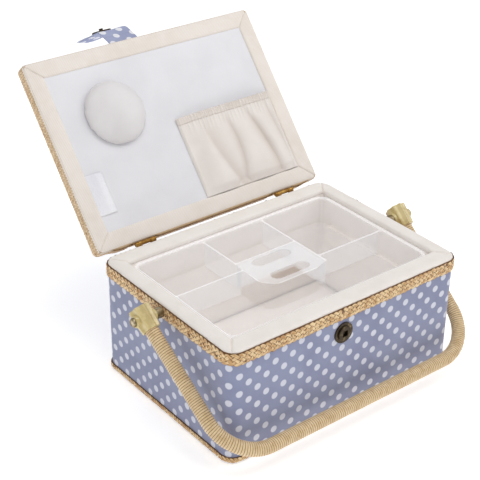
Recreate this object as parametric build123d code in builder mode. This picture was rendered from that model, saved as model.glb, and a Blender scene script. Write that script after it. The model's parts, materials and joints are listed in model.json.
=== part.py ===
from build123d import *

import os
from math import asin, atan2, cos, degrees, radians, sin

# Fabric-covered sewing box with a hinged padded lid, a wound carrying handle, a lift-out
# tray and a snap strap. Millimetres. +X is the right-hand side, -Y the snap side, +Z up, and
# the origin is the middle of the underside. The lid stands open with its strap flopped
# behind it, and the handle hangs in front of the box.

# Box: boards covered with fabric outside and padded lining inside
box_width = 240.0
box_depth = 173.0
wall_height = 101.5
corner_radius = 11.0
fabric_thickness = 0.8
board_thickness = 8.0
side_lining = 5.0
end_lining = 8.5
base_sheet_thickness = 1.0
base_sheet_margin = 1.5
bottom_board_thickness = 6.0
floor_pad_thickness = 4.0
fabric_hem = 0.4
rim_thickness = 4.5
rim_rounding = 2.6
rim_inner_bevel = 1.2
floor_pad_rounding = 1.2

# Straw braid glued round the box
braid_thickness = 1.6
upper_braid_height = 12.5
upper_braid_drop = 2.2
lower_braid_height = 5.4
lower_braid_lift = 0.4

# Lid, measured from the hinge pin in its closed position
lid_overhang = 0.0
lid_corner_radius = 5.0
lid_open_angle = 130.0
lid_gap = 0.6
lid_border_width = 16.0
lid_border_thickness = 3.5
satin_panel_thickness = 1.5
lid_padding_thickness = 2.5
lid_edge_rounding = 2.0
lid_braid_margin = 0.6

# Two butt hinges
hinge_spread = 76.0
hinge_width = 20.0
hinge_pin_radius = 0.8
hinge_barrel_radius = 1.9
hinge_barrel_gap = 0.1
hinge_pin_drop = 0.8
hinge_leaf_thickness = 0.8
hinge_leaf_height = 12.0
hinge_middle_knuckle = 8.0
hinge_side_play = 0.2
hinge_pin_play = 0.05
hinge_turn_room = 0.3
leaf_screw_spread = 12.0
leaf_screw_drop = 7.0
leaf_screw_radius = 1.0
leaf_screw_head_radius = 1.8
leaf_screw_length = 6.5

# Inside of the lid
pincushion_radius = 31.0
pincushion_height = 13.0
pincushion_x = -54.0
pincushion_from_front = 61.0
pocket_from_middle = 0.0
pocket_depth = 74.0
pocket_mouth = 6.7
pocket_foot = 2.0
pocket_sheet = 0.8
pocket_seam = 2.0
pocket_foot_seam = 3.0
elastic_width = 5.0
elastic_thickness = 0.5
elastic_inset = 3.0
label_width = 16.0
label_length = 37.0
label_thickness = 0.4
label_from_back = 30.0

# Snap: socket on the front wall, stud on the strap
snap_x = -8.0
snap_drop = 22.0
socket_radius = 9.2
socket_flange = 1.4
socket_boss_radius = 6.4
socket_boss_height = 3.0
socket_hole = 5.2
socket_hole_depth = 2.4
prong_width = 6.0
prong_thickness = 0.6
prong_spread = 6.4
prong_foot = 2.6
snap_washer_radius = 9.0
snap_washer_thickness = 0.6
snap_pocket_room = 0.4
stud_radius = 9.0
stud_thickness = 1.4
stud_post_radius = 1.9
stud_post_length = 2.0
stud_neck_radius = 1.5
stud_washer_radius = 8.4
stud_washer_thickness = 0.6
snap_play = 0.2

# Closing strap: sewn to the lid, folding at the lid's edge and again half way
strap_width = 30.0
strap_thickness = 2.0
strap_lift = 0.3
strap_edge_gap = 1.1
strap_anchor_length = 20.0
strap_anchor_inset = 2.0
strap_root_length = 20.0
strap_end_length = 40.0
strap_fold_gap = 1.0
strap_root_turn = 28.0
strap_end_turn = 48.0

# Handle
pivot_y = 0.5
pivot_drop = 8.0
handle_taper = 6.6
handle_front_gap = 18.03
handle_bend = 39.0
handle_droop = 36.7
core_radius = 3.5
wrap_radius = 6.0
wrap_gap = 0.15
core_start = 5.0
wrap_start = 7.0
cap_below = 11.0
cap_above = 9.0
cap_foot_radius = 8.2
cap_head_radius = 9.6
cap_facets = 8
cap_edge = 0.8
cap_play = 0.1
boss_radius = 5.0
boss_half_length = 9.6
pivot_radius = 2.0
pivot_play = 0.05
pivot_side_play = 0.2
pivot_head_radius = 3.8
pivot_head_thickness = 2.2
pivot_head_rounding = 1.5
spacer_radius = 4.5
spacer_length = 5.7
nut_radius = 3.9
nut_thickness = 3.0
nut_pocket_radius = 4.7
nut_pocket_room = 0.4

# Tray
tray_clearance = 0.7
tray_flange = 2.2
tray_wall = 1.2
tray_floor = 1.2
tray_height = 25.7
tray_drop = 4.5
tray_corner_radius = 11.0
tray_flange_thickness = 1.2
divider_thickness = 1.4
divider_drop = 1.0
pocket_corner_radius = 2.0
left_divider_x = -33.0
left_shelf_y = 8.0
right_divider_x = 31.0
right_divider_front = -21.0
right_shelf_y = -11.0
island_back_y = 20.0
island_left_x = -35.5
island_front_y = -26.0
island_corner_radius = 16.0
finger_hole_length = 39.0
finger_hole_width = 12.0
finger_hole_x = -2.5
finger_hole_spread = 24.6
finger_bridge_y = -2.2
ledge_thickness = 6.0
ledge_height = 16.0
ledge_end_gap = 14.2

# Values that follow from the ones above
board_inner_x = box_width / 2 - fabric_thickness - board_thickness
board_inner_y = box_depth / 2 - fabric_thickness - board_thickness
opening_x = board_inner_x - side_lining
opening_y = board_inner_y - end_lining
rim_top = wall_height + rim_thickness
floor_board_top = base_sheet_thickness + bottom_board_thickness
upper_braid_top = rim_top - upper_braid_drop

lid_width = box_width + 2 * lid_overhang
lid_depth = box_depth + 2 * lid_overhang
hinge_pin_height = rim_top - hinge_pin_drop
hinge_y = box_depth / 2 + hinge_barrel_radius + hinge_barrel_gap
hinge_setback = hinge_y - lid_depth / 2
lid_plane = Plane(
    origin=(0, hinge_y, hinge_pin_height),
    x_dir=(1, 0, 0),
    z_dir=(0, sin(radians(lid_open_angle)), cos(radians(lid_open_angle))),
)
box_hinge_plane = Plane(origin=(0, hinge_y, hinge_pin_height), x_dir=(1, 0, 0), z_dir=(0, 0, 1))
lid_inner = rim_top + lid_gap - hinge_pin_height
lid_board_inner = lid_inner + lid_border_thickness
lid_board_outer = lid_board_inner + board_thickness
lid_padding_top = lid_board_outer + lid_padding_thickness
lid_top = lid_padding_top + fabric_thickness
satin_level = lid_board_inner - satin_panel_thickness
lid_middle = -(hinge_setback + lid_depth / 2)

snap_height = wall_height - snap_drop
front_y = -box_depth / 2
pincushion_from_back = lid_depth - pincushion_from_front
pocket_width = lid_width / 2 - lid_border_width - pocket_from_middle
strap_fold_out = strap_lift + strap_thickness / 2
strap_root_out = -(hinge_setback + lid_depth + strap_edge_gap)
closed_root_y = hinge_y + strap_root_out
stud_stand_off = socket_boss_height + snap_play + stud_thickness + strap_thickness / 2
closed_end_y = front_y - stud_stand_off
strap_lean = degrees(asin((closed_root_y - strap_fold_out - closed_end_y) / strap_root_length))
closed_fold_height = (
    hinge_pin_height
    + lid_top
    - strap_root_length * cos(radians(strap_lean))
    + strap_fold_out * sin(radians(strap_lean))
)
stud_distance = closed_fold_height - snap_height

pivot_height = rim_top - pivot_drop
pivot_half_width = (
    box_width / 2 + braid_thickness + spacer_length + pivot_side_play + boss_half_length
)
bar_half_width = pivot_half_width - handle_taper
handle_reach = (pivot_y - front_y + handle_front_gap) / cos(radians(handle_droop))
handle_plane = Plane(
    origin=(0, pivot_y, pivot_height),
    x_dir=(1, 0, 0),
    z_dir=(0, -sin(radians(handle_droop)), cos(radians(handle_droop))),
)
arm_lean = atan2(pivot_half_width - bar_half_width, handle_reach)
boss_inner = pivot_half_width - boss_half_length
boss_outer = pivot_half_width + boss_half_length

tray_top = rim_top - tray_drop
tray_bottom = tray_top - tray_height
tray_width = 2 * (opening_x - tray_clearance)
tray_depth = 2 * (opening_y - tray_clearance)
tray_body_x = tray_width - 2 * tray_flange
tray_body_y = tray_depth - 2 * tray_flange
tray_inner_x = tray_body_x - 2 * tray_wall
tray_inner_y = tray_body_y - 2 * tray_wall
tray_body_radius = tray_corner_radius - tray_flange
divider_top = tray_top - divider_drop
ledge_length = 2 * (opening_y - ledge_end_gap)
hinge_places = (("left", -hinge_spread), ("right", hinge_spread))
sides = (("left", -1), ("right", 1))


def write(part, label):
    """Label a finished piece and write its file."""
    part.label = label
    export_step(part, f"parts/{label}.step")


def box_outline(inset=0.0):
    """Plan of the box with round corners, drawn smaller by an inset."""
    RectangleRounded(box_width - 2 * inset, box_depth - 2 * inset, corner_radius - inset)


def lid_outline(inset=0.0):
    """Plan of the lid with round corners, drawn smaller by an inset."""
    RectangleRounded(lid_width - 2 * inset, lid_depth - 2 * inset, lid_corner_radius - inset)


def in_lid(x, y, height):
    """Point of the open lid that lies at x, y from the pin line and a height above it when closed."""
    return lid_plane.from_local_coords((x, y, height))


def lid_level(height):
    """Plane centred on the lid, at a height above the pin line when the lid is closed."""
    return Plane(in_lid(0, lid_middle, height), lid_plane.x_dir, lid_plane.z_dir)


def section(frame, x=0.0):
    """Plane across the pin line: its x runs along the frame's y, its y along the frame's z."""
    return Plane(frame.from_local_coords((x, 0, 0)), frame.y_dir, frame.x_dir)


def leaf_screws(frame, side, mode):
    """Countersunk screws of both hinges in one leaf plane, or their bores when subtracted."""
    face = Plane(
        frame.from_local_coords((0, hinge_leaf_thickness - hinge_setback, 0)),
        frame.x_dir,
        -frame.y_dir,
    )
    places = [
        (x + offset, side * leaf_screw_drop)
        for _, x in hinge_places
        for offset in (-leaf_screw_spread / 2, leaf_screw_spread / 2)
    ]
    with BuildSketch(face) as heads:
        with Locations(*places):
            Circle(leaf_screw_head_radius)
    extrude(heads.sketch, amount=hinge_leaf_thickness, taper=45, mode=mode)
    with BuildSketch(face) as shanks:
        with Locations(*places):
            Circle(leaf_screw_radius)
    extrude(shanks.sketch, amount=leaf_screw_length, mode=mode)


def leaf_sockets(frame, side):
    """Room in the braid where both leaves of one side lie flat on the fabric."""
    face = Plane(
        frame.from_local_coords((0, -hinge_setback, 0)), frame.x_dir, frame.y_dir
    )
    reach = hinge_leaf_height + hinge_turn_room
    with BuildSketch(face) as rooms:
        for _, x in hinge_places:
            with Locations((x, -side * reach / 2)):
                Rectangle(hinge_width + 2 * hinge_turn_room, reach)
    extrude(rooms.sketch, amount=braid_thickness + hinge_turn_room, mode=Mode.SUBTRACT)


def pivot_bores():
    """Bores for both handle screws, right through the side walls."""
    with BuildSketch(Plane.YZ.offset(-box_width)) as bore:
        with Locations((pivot_y, pivot_height)):
            Circle(pivot_radius)
    extrude(bore.sketch, amount=2 * box_width, mode=Mode.SUBTRACT)


def prong_slots(depth):
    """Slots for the two prongs of the snap socket, through the front wall."""
    with BuildSketch(Plane.XZ.offset(-front_y)) as slots:
        with Locations((snap_x, snap_height)):
            with GridLocations(1, prong_spread, 1, 2):
                Rectangle(prong_width, prong_thickness)
    extrude(slots.sketch, amount=-depth, mode=Mode.SUBTRACT)


def strap_plane(origin, turn):
    """Plane of a strap length that leaves its fold along -y, turned up from the box's front."""
    return Plane(origin, (1, 0, 0), (0, sin(radians(turn)), cos(radians(turn))))


def arm_point(side, distance):
    """Point of the handle's plane on an arm's middle line, at a distance from the pivot."""
    x = side * (pivot_half_width - distance * sin(arm_lean))
    return (x, -distance * cos(arm_lean))


def handle_path(start):
    """Middle line of the handle from a distance below one pivot to the same below the other."""
    FilletPolyline(
        arm_point(-1, start),
        (-bar_half_width, -handle_reach),
        (bar_half_width, -handle_reach),
        arm_point(1, start),
        radius=handle_bend,
    )


def island_outline(mode=Mode.ADD):
    """Plan of the tray's hollow island, whose front left corner is broad and round."""
    left = left_divider_x - divider_thickness / 2
    right = right_divider_x + divider_thickness / 2
    corner = island_corner_radius
    with BuildLine() as edge:
        CenterArc((island_left_x + corner, island_front_y + corner), corner, 180, 90)
        Polyline(
            (island_left_x + corner, island_front_y),
            (right - corner, island_front_y),
            (right, right_divider_front),
            (right, island_back_y),
            (left, island_back_y),
            (island_left_x, island_front_y + corner),
        )
    make_face(edge.edges(), mode=mode)


os.makedirs("parts", exist_ok=True)

# Base sheet and bottom board
with BuildPart() as base_sheet:
    with BuildSketch():
        box_outline(base_sheet_margin)
    extrude(amount=base_sheet_thickness)
write(base_sheet.part, "base_sheet")

with BuildPart() as bottom_board:
    with BuildSketch(Plane.XY.offset(base_sheet_thickness)):
        Rectangle(2 * board_inner_x, 2 * board_inner_y)
    extrude(amount=bottom_board_thickness)
write(bottom_board.part, "bottom_board")

# Four wall boards: the front and back ones run the full width, the side ones fit between them
wall_middle_x = board_inner_x + board_thickness / 2
wall_middle_y = board_inner_y + board_thickness / 2
board_plans = {
    "front_board": (0, -wall_middle_y, box_width, board_thickness),
    "back_board": (0, wall_middle_y, box_width, board_thickness),
    "left_board": (-wall_middle_x, 0, board_thickness, 2 * board_inner_y),
    "right_board": (wall_middle_x, 0, board_thickness, 2 * board_inner_y),
}
for board_name, (board_x, board_y, length_x, length_y) in board_plans.items():
    with BuildPart() as board:
        with BuildSketch(Plane.XY.offset(base_sheet_thickness)):
            box_outline(fabric_thickness)
            with Locations((board_x, board_y)):
                Rectangle(length_x, length_y, mode=Mode.INTERSECT)
        extrude(amount=wall_height - base_sheet_thickness)
        if board_name == "front_board":
            prong_slots(fabric_thickness + board_thickness)
        elif board_name == "back_board":
            leaf_screws(box_hinge_plane, -1, Mode.SUBTRACT)
        else:
            pivot_bores()
    write(board.part, board_name)

# Outer fabric: one skin round the four boards
with BuildPart() as outer_fabric:
    with BuildSketch(Plane.XY.offset(fabric_hem)):
        box_outline()
        offset(amount=-fabric_thickness, mode=Mode.SUBTRACT)
    extrude(amount=wall_height - fabric_hem)
    pivot_bores()
    prong_slots(fabric_thickness)
    leaf_screws(box_hinge_plane, -1, Mode.SUBTRACT)
write(outer_fabric.part, "outer_fabric")

# Padded lining of the walls, with room behind it for the snap's washer and the handle's nuts
with BuildPart() as lining:
    with BuildSketch(Plane.XY.offset(floor_board_top)):
        Rectangle(2 * board_inner_x, 2 * board_inner_y)
        Rectangle(2 * opening_x, 2 * opening_y, mode=Mode.SUBTRACT)
    extrude(amount=wall_height - floor_board_top)
    with BuildSketch(Plane.XZ.offset(board_inner_y)):
        with Locations((snap_x, snap_height)):
            Circle(snap_washer_radius + snap_pocket_room)
    washer_pocket = snap_washer_thickness + prong_thickness + snap_pocket_room
    extrude(amount=-washer_pocket, mode=Mode.SUBTRACT)
    for _, side in sides:
        with BuildSketch(Plane.YZ.offset(side * board_inner_x)):
            with Locations((pivot_y, pivot_height)):
                Circle(nut_pocket_radius)
        extrude(amount=-side * (nut_thickness + nut_pocket_room), mode=Mode.SUBTRACT)
write(lining.part, "lining")

with BuildPart() as floor_pad:
    with BuildSketch(Plane.XY.offset(floor_board_top)):
        Rectangle(2 * opening_x, 2 * opening_y)
    extrude(amount=floor_pad_thickness)
    fillet(floor_pad.faces().sort_by(Axis.Z)[-1].edges(), floor_pad_rounding)
write(floor_pad.part, "floor_pad")

# Padded rim: four strips on top of the walls, cut along the lines through the rim's corners
mitre_x = box_width - opening_x
mitre_y = box_depth - opening_y
rim_corners = {
    "rim_front": ((-1, -1), (1, -1)),
    "rim_right": ((1, -1), (1, 1)),
    "rim_back": ((1, 1), (-1, 1)),
    "rim_left": ((-1, 1), (-1, -1)),
}
for rim_name, (first, second) in rim_corners.items():
    with BuildPart() as rim_strip:
        with BuildSketch(Plane.XY.offset(wall_height)):
            box_outline()
            Rectangle(2 * opening_x, 2 * opening_y, mode=Mode.SUBTRACT)
        extrude(amount=rim_thickness)
        top_edges = rim_strip.faces().sort_by(Axis.Z)[-1]
        fillet(top_edges.outer_wire().edges(), rim_rounding)
        inner_top = rim_strip.faces().sort_by(Axis.Z)[-1].inner_wires()[0]
        chamfer(inner_top.edges(), rim_inner_bevel)
        with BuildSketch(Plane.XY.offset(wall_height)):
            with BuildLine():
                Polyline(
                    (first[0] * mitre_x, first[1] * mitre_y),
                    (second[0] * mitre_x, second[1] * mitre_y),
                    (second[0] * opening_x, second[1] * opening_y),
                    (first[0] * opening_x, first[1] * opening_y),
                    close=True,
                )
            make_face()
        extrude(amount=rim_thickness, mode=Mode.INTERSECT)
    write(rim_strip.part, rim_name)

# Straw braid: a broad band under the rim and a narrow one round the foot
with BuildPart() as upper_braid:
    with BuildSketch(Plane.XY.offset(upper_braid_top - upper_braid_height)):
        box_outline(-braid_thickness)
        offset(amount=-braid_thickness, mode=Mode.SUBTRACT)
    extrude(amount=upper_braid_height)
    pivot_bores()
    leaf_sockets(box_hinge_plane, -1)
write(upper_braid.part, "upper_braid")

with BuildPart() as lower_braid:
    with BuildSketch(Plane.XY.offset(lower_braid_lift)):
        box_outline(-braid_thickness)
        offset(amount=-braid_thickness, mode=Mode.SUBTRACT)
    extrude(amount=lower_braid_height)
write(lower_braid.part, "lower_braid")

# Two ledges inside the side walls carry the tray
for side_name, side in sides:
    with BuildPart() as ledge:
        with BuildSketch(Plane.XY.offset(tray_bottom - ledge_height)):
            with Locations((side * (opening_x - ledge_thickness / 2), 0)):
                Rectangle(ledge_thickness, ledge_length)
        extrude(amount=ledge_height)
    write(ledge.part, f"tray_ledge_{side_name}")

# Snap socket on the front wall: flanged cap with a square hole and two bent prongs
with BuildPart() as snap_socket:
    with BuildSketch(Plane.XZ.offset(-front_y)):
        with Locations((snap_x, snap_height)):
            Circle(socket_radius)
    extrude(amount=socket_flange)
    with BuildSketch(Plane.XZ.offset(-front_y)):
        with Locations((snap_x, snap_height)):
            Circle(socket_boss_radius)
    extrude(amount=socket_boss_height)
    rims = snap_socket.edges().filter_by(GeomType.CIRCLE).group_by(Axis.Y)
    fillet(rims[0], socket_flange / 2)
    with BuildSketch(Plane.XZ.offset(-front_y + socket_boss_height)):
        with Locations((snap_x, snap_height)):
            Rectangle(socket_hole, socket_hole)
    extrude(amount=-socket_hole_depth, mode=Mode.SUBTRACT)
    prong_reach = fabric_thickness + board_thickness + snap_washer_thickness + prong_thickness
    with BuildSketch(Plane.XZ.offset(-front_y)):
        with Locations((snap_x, snap_height)):
            with GridLocations(1, prong_spread, 1, 2):
                Rectangle(prong_width, prong_thickness)
    extrude(amount=-prong_reach)
    with BuildSketch(Plane.XZ.offset(-front_y - prong_reach)):
        with Locations((snap_x, snap_height)):
            with GridLocations(1, prong_spread + prong_foot - prong_thickness, 1, 2):
                Rectangle(prong_width, prong_foot)
    extrude(amount=prong_thickness)
write(snap_socket.part, "snap_socket")

with BuildPart() as snap_washer:
    with BuildSketch(Plane.XZ.offset(board_inner_y)):
        with Locations((snap_x, snap_height)):
            Circle(snap_washer_radius)
            with GridLocations(1, prong_spread, 1, 2):
                Rectangle(prong_width, prong_thickness, mode=Mode.SUBTRACT)
    extrude(amount=-snap_washer_thickness)
write(snap_washer.part, "snap_washer")


# Butt hinges: the box leaf has the two outer knuckles, the lid leaf has the middle one
def hinge_leaf(frame, x, side, outer):
    """Leaf of one hinge, flat on the board, with its knuckles round the pin."""
    half = hinge_width / 2
    middle = hinge_middle_knuckle / 2
    clear = hinge_barrel_radius + hinge_turn_room
    plate_y = hinge_leaf_thickness / 2 - hinge_setback
    with BuildSketch(section(frame, x - half)) as plate:
        with Locations((plate_y, side * (clear + hinge_leaf_height) / 2)):
            Rectangle(hinge_leaf_thickness, hinge_leaf_height - clear)
    extrude(plate.sketch, amount=hinge_width)
    if outer:
        reach = half - middle - hinge_side_play
        starts = (x - half, x + half - reach)
    else:
        reach = hinge_middle_knuckle
        starts = (x - middle,)
    for start in starts:
        with BuildSketch(section(frame, start)) as knuckle:
            Circle(hinge_barrel_radius)
            with Locations((plate_y, side * clear / 2)):
                Rectangle(hinge_leaf_thickness, clear)
        extrude(knuckle.sketch, amount=reach)
    with BuildSketch(section(frame, x - half)) as bore:
        Circle(hinge_pin_radius if outer else hinge_pin_radius + hinge_pin_play)
    extrude(bore.sketch, amount=hinge_width, mode=Mode.SUBTRACT)
    leaf_screws(frame, side, Mode.SUBTRACT)


for side_name, x in hinge_places:
    with BuildPart() as box_leaf:
        hinge_leaf(box_hinge_plane, x, -1, True)
    write(box_leaf.part, f"{side_name}_box_leaf")

    with BuildPart() as lid_leaf:
        hinge_leaf(lid_plane, x, 1, False)
    write(lid_leaf.part, f"{side_name}_lid_leaf")

    with BuildPart() as hinge_pin:
        with BuildSketch(section(box_hinge_plane, x - hinge_width / 2)):
            Circle(hinge_pin_radius)
        extrude(amount=hinge_width)
    write(hinge_pin.part, f"{side_name}_hinge_pin")

with BuildPart() as box_leaf_screws:
    leaf_screws(box_hinge_plane, -1, Mode.ADD)
write(box_leaf_screws.part, "box_leaf_screws")

with BuildPart() as lid_leaf_screws:
    leaf_screws(lid_plane, 1, Mode.ADD)
write(lid_leaf_screws.part, "lid_leaf_screws")

# Handle pivots: a screw through each cap, its spacer and the side wall, held by a nut inside
for side_name, side in sides:
    with BuildPart() as pivot_screw:
        with BuildSketch(Plane.YZ.offset(side * (board_inner_x - nut_thickness))):
            with Locations((pivot_y, pivot_height)):
                Circle(pivot_radius)
        shank = boss_outer + pivot_side_play + nut_thickness - board_inner_x
        extrude(amount=side * shank)
        with BuildSketch(Plane.YZ.offset(side * (boss_outer + pivot_side_play))):
            with Locations((pivot_y, pivot_height)):
                Circle(pivot_head_radius)
        extrude(amount=side * pivot_head_thickness)
        head = pivot_screw.faces().sort_by(Axis.X)[-1 if side > 0 else 0]
        fillet(head.edges(), pivot_head_rounding)
    write(pivot_screw.part, f"{side_name}_pivot_screw")

    with BuildPart() as spacer:
        with BuildSketch(Plane.YZ.offset(side * (box_width / 2 + braid_thickness))):
            with Locations((pivot_y, pivot_height)):
                Circle(spacer_radius)
                Circle(pivot_radius, mode=Mode.SUBTRACT)
        extrude(amount=side * spacer_length)
    write(spacer.part, f"{side_name}_spacer")

    with BuildPart() as pivot_nut:
        with BuildSketch(Plane.YZ.offset(side * board_inner_x)):
            with Locations((pivot_y, pivot_height)):
                RegularPolygon(nut_radius, 6)
                Circle(pivot_radius, mode=Mode.SUBTRACT)
        extrude(amount=-side * nut_thickness)
    write(pivot_nut.part, f"{side_name}_pivot_nut")

# Handle: a bent core wound with cord, and a faceted cap on each end that turns on its screw
with BuildPart() as handle_core:
    with BuildLine(handle_plane) as core_line:
        handle_path(core_start)
    with BuildSketch(Plane(origin=core_line.line @ 0, z_dir=core_line.line % 0)):
        Circle(core_radius)
    sweep(path=core_line.line)
write(handle_core.part, "handle_core")

with BuildPart() as handle_wrap:
    with BuildLine(handle_plane) as wrap_line:
        handle_path(wrap_start)
    with BuildSketch(Plane(origin=wrap_line.line @ 0, z_dir=wrap_line.line % 0)):
        Circle(wrap_radius)
        Circle(core_radius + wrap_gap, mode=Mode.SUBTRACT)
    sweep(path=wrap_line.line)
write(handle_wrap.part, "handle_wrap")

for side_name, side in sides:
    foot_x, foot_y = arm_point(side, cap_below)
    foot = handle_plane.from_local_coords((foot_x, foot_y, 0))
    pivot = Vector(side * pivot_half_width, pivot_y, pivot_height)
    cap_plane = Plane(origin=foot, x_dir=handle_plane.z_dir, z_dir=pivot - foot)
    with BuildPart() as cap:
        with BuildSketch(cap_plane):
            RegularPolygon(cap_foot_radius, cap_facets)
        with BuildSketch(cap_plane.offset(cap_below + cap_above)):
            RegularPolygon(cap_head_radius, cap_facets)
        loft()
        chamfer(cap.faces().sort_by(SortBy.AREA)[-2:].edges(), cap_edge)
        with BuildSketch(Plane.YZ.offset(side * boss_inner)):
            with Locations((pivot_y, pivot_height)):
                Circle(boss_radius)
        extrude(amount=side * 2 * boss_half_length)
        with BuildSketch(Plane.YZ.offset(side * boss_inner)):
            with Locations((pivot_y, pivot_height)):
                Circle(pivot_radius + pivot_play)
        extrude(amount=side * 2 * boss_half_length, mode=Mode.SUBTRACT)
        with BuildSketch(cap_plane):
            Circle(wrap_radius + cap_play)
        extrude(amount=cap_below - wrap_start, mode=Mode.SUBTRACT)
        with BuildSketch(cap_plane):
            Circle(core_radius + cap_play)
        extrude(amount=cap_below - core_start, mode=Mode.SUBTRACT)
    write(cap.part, f"{side_name}_cap")

# Lid: board, padding, outer fabric wrapped over its edge, and braid round the edge
lid_fabric_inset = braid_thickness
lid_board_inset = braid_thickness + fabric_thickness
with BuildPart() as lid_board:
    with BuildSketch(lid_level(lid_board_inner)):
        lid_outline(lid_board_inset)
    extrude(amount=board_thickness)
    leaf_screws(lid_plane, 1, Mode.SUBTRACT)
write(lid_board.part, "lid_board")

with BuildPart() as lid_padding:
    with BuildSketch(lid_level(lid_board_outer)):
        lid_outline(lid_board_inset)
    extrude(amount=lid_padding_thickness)
write(lid_padding.part, "lid_padding")

with BuildPart() as lid_fabric:
    with BuildSketch(lid_level(lid_board_inner)):
        lid_outline(lid_fabric_inset)
    extrude(amount=lid_top - lid_board_inner)
    with BuildSketch(lid_level(lid_board_inner)):
        lid_outline(lid_board_inset)
    extrude(amount=lid_padding_top - lid_board_inner, mode=Mode.SUBTRACT)
    leaf_screws(lid_plane, 1, Mode.SUBTRACT)
write(lid_fabric.part, "lid_fabric")

with BuildPart() as lid_edge_braid:
    with BuildSketch(lid_level(lid_inner + lid_braid_margin)):
        lid_outline()
        offset(amount=-braid_thickness, mode=Mode.SUBTRACT)
    extrude(amount=lid_top - lid_inner - 2 * lid_braid_margin)
    leaf_screws(lid_plane, 1, Mode.SUBTRACT)
write(lid_edge_braid.part, "lid_edge_braid")

# Inside of the lid: padded border, satin panel, pincushion, gathered pocket and blank label
with BuildPart() as lid_border:
    with BuildSketch(lid_level(lid_inner)):
        lid_outline(lid_fabric_inset)
        Rectangle(
            lid_width - 2 * lid_border_width,
            lid_depth - 2 * lid_border_width,
            mode=Mode.SUBTRACT,
        )
    extrude(amount=lid_border_thickness)
write(lid_border.part, "lid_border")

with BuildPart() as satin_panel:
    with BuildSketch(lid_level(satin_level)):
        Rectangle(lid_width - 2 * lid_border_width, lid_depth - 2 * lid_border_width)
    extrude(amount=satin_panel_thickness)
write(satin_panel.part, "satin_panel")

with BuildPart() as pincushion:
    cushion_y = -(hinge_setback + pincushion_from_back)
    cushion_section = Plane(
        in_lid(pincushion_x, cushion_y, satin_level), lid_plane.x_dir, lid_plane.y_dir
    )
    dome_radius = (pincushion_radius**2 + pincushion_height**2) / (2 * pincushion_height)
    half_angle = degrees(asin(pincushion_radius / dome_radius))
    with BuildSketch(cushion_section):
        with BuildLine():
            Line((0, 0), (pincushion_radius, 0))
            CenterArc((0, pincushion_height - dome_radius), dome_radius, 90 - half_angle, half_angle)
            Line((0, pincushion_height), (0, 0))
        make_face()
    revolve(axis=Axis(cushion_section.origin, cushion_section.y_dir))
write(pincushion.part, "pincushion")

pocket_back_y = -(hinge_setback + lid_border_width)
pocket_mouth_y = pocket_back_y - pocket_depth
sheet_slope = (pocket_mouth - pocket_foot) / pocket_depth
with BuildPart() as pocket:
    with BuildSketch(section(lid_plane, pocket_from_middle)):
        with BuildLine():
            Polyline(
                (pocket_back_y, satin_level),
                (pocket_back_y, satin_level - pocket_foot),
                (pocket_mouth_y, satin_level - pocket_mouth),
                (pocket_mouth_y, satin_level),
                close=True,
            )
        make_face()
    extrude(amount=pocket_width)
    foot_inner = pocket_foot - pocket_sheet + sheet_slope * pocket_foot_seam
    with BuildSketch(section(lid_plane, pocket_from_middle + pocket_seam)):
        with BuildLine():
            Polyline(
                (pocket_back_y - pocket_foot_seam, satin_level),
                (pocket_back_y - pocket_foot_seam, satin_level - foot_inner),
                (pocket_mouth_y, satin_level - pocket_mouth + pocket_sheet),
                (pocket_mouth_y, satin_level),
                close=True,
            )
        make_face()
    extrude(amount=pocket_width - 2 * pocket_seam, mode=Mode.SUBTRACT)
write(pocket.part, "pocket")

with BuildPart() as pocket_elastic:
    band_top = satin_level - pocket_mouth + pocket_sheet + sheet_slope * elastic_inset
    band_drop = sheet_slope * elastic_width
    with BuildSketch(section(lid_plane, pocket_from_middle + pocket_seam)):
        with BuildLine():
            Polyline(
                (pocket_mouth_y + elastic_inset, band_top),
                (pocket_mouth_y + elastic_inset + elastic_width, band_top + band_drop),
                (
                    pocket_mouth_y + elastic_inset + elastic_width,
                    band_top + band_drop + elastic_thickness,
                ),
                (pocket_mouth_y + elastic_inset, band_top + elastic_thickness),
                close=True,
            )
        make_face()
    extrude(amount=pocket_width - 2 * pocket_seam)
write(pocket_elastic.part, "pocket_elastic")

with BuildPart() as blank_label:
    label_x = -lid_width / 2 + lid_border_width + label_width / 2
    label_y = -(hinge_setback + label_from_back + label_length / 2)
    label_plane = Plane(
        in_lid(label_x, label_y, satin_level), lid_plane.x_dir, -lid_plane.z_dir
    )
    with BuildSketch(label_plane):
        Rectangle(label_width, label_length)
    extrude(amount=label_thickness)
write(blank_label.part, "blank_label")

# Strap: an end sewn to the lid, a length that folds over the edge, and the end with the stud
with BuildPart() as strap_anchor:
    anchor_y = strap_root_out + strap_edge_gap + strap_anchor_inset + strap_anchor_length / 2
    anchor_plane = Plane(in_lid(snap_x, anchor_y, lid_top), lid_plane.x_dir, lid_plane.z_dir)
    with BuildSketch(anchor_plane):
        Rectangle(strap_width, strap_anchor_length)
    extrude(amount=strap_thickness)
write(strap_anchor.part, "strap_anchor")

root_turn = lid_open_angle + strap_root_turn
root_plane = strap_plane(in_lid(snap_x, strap_root_out, lid_top), root_turn)
with BuildPart() as strap_root:
    with BuildSketch(root_plane.offset(strap_lift)):
        with Locations((0, -strap_root_length / 2)):
            Rectangle(strap_width, strap_root_length - 2 * strap_fold_gap)
    extrude(amount=strap_thickness)
write(strap_root.part, "strap_root")

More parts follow.
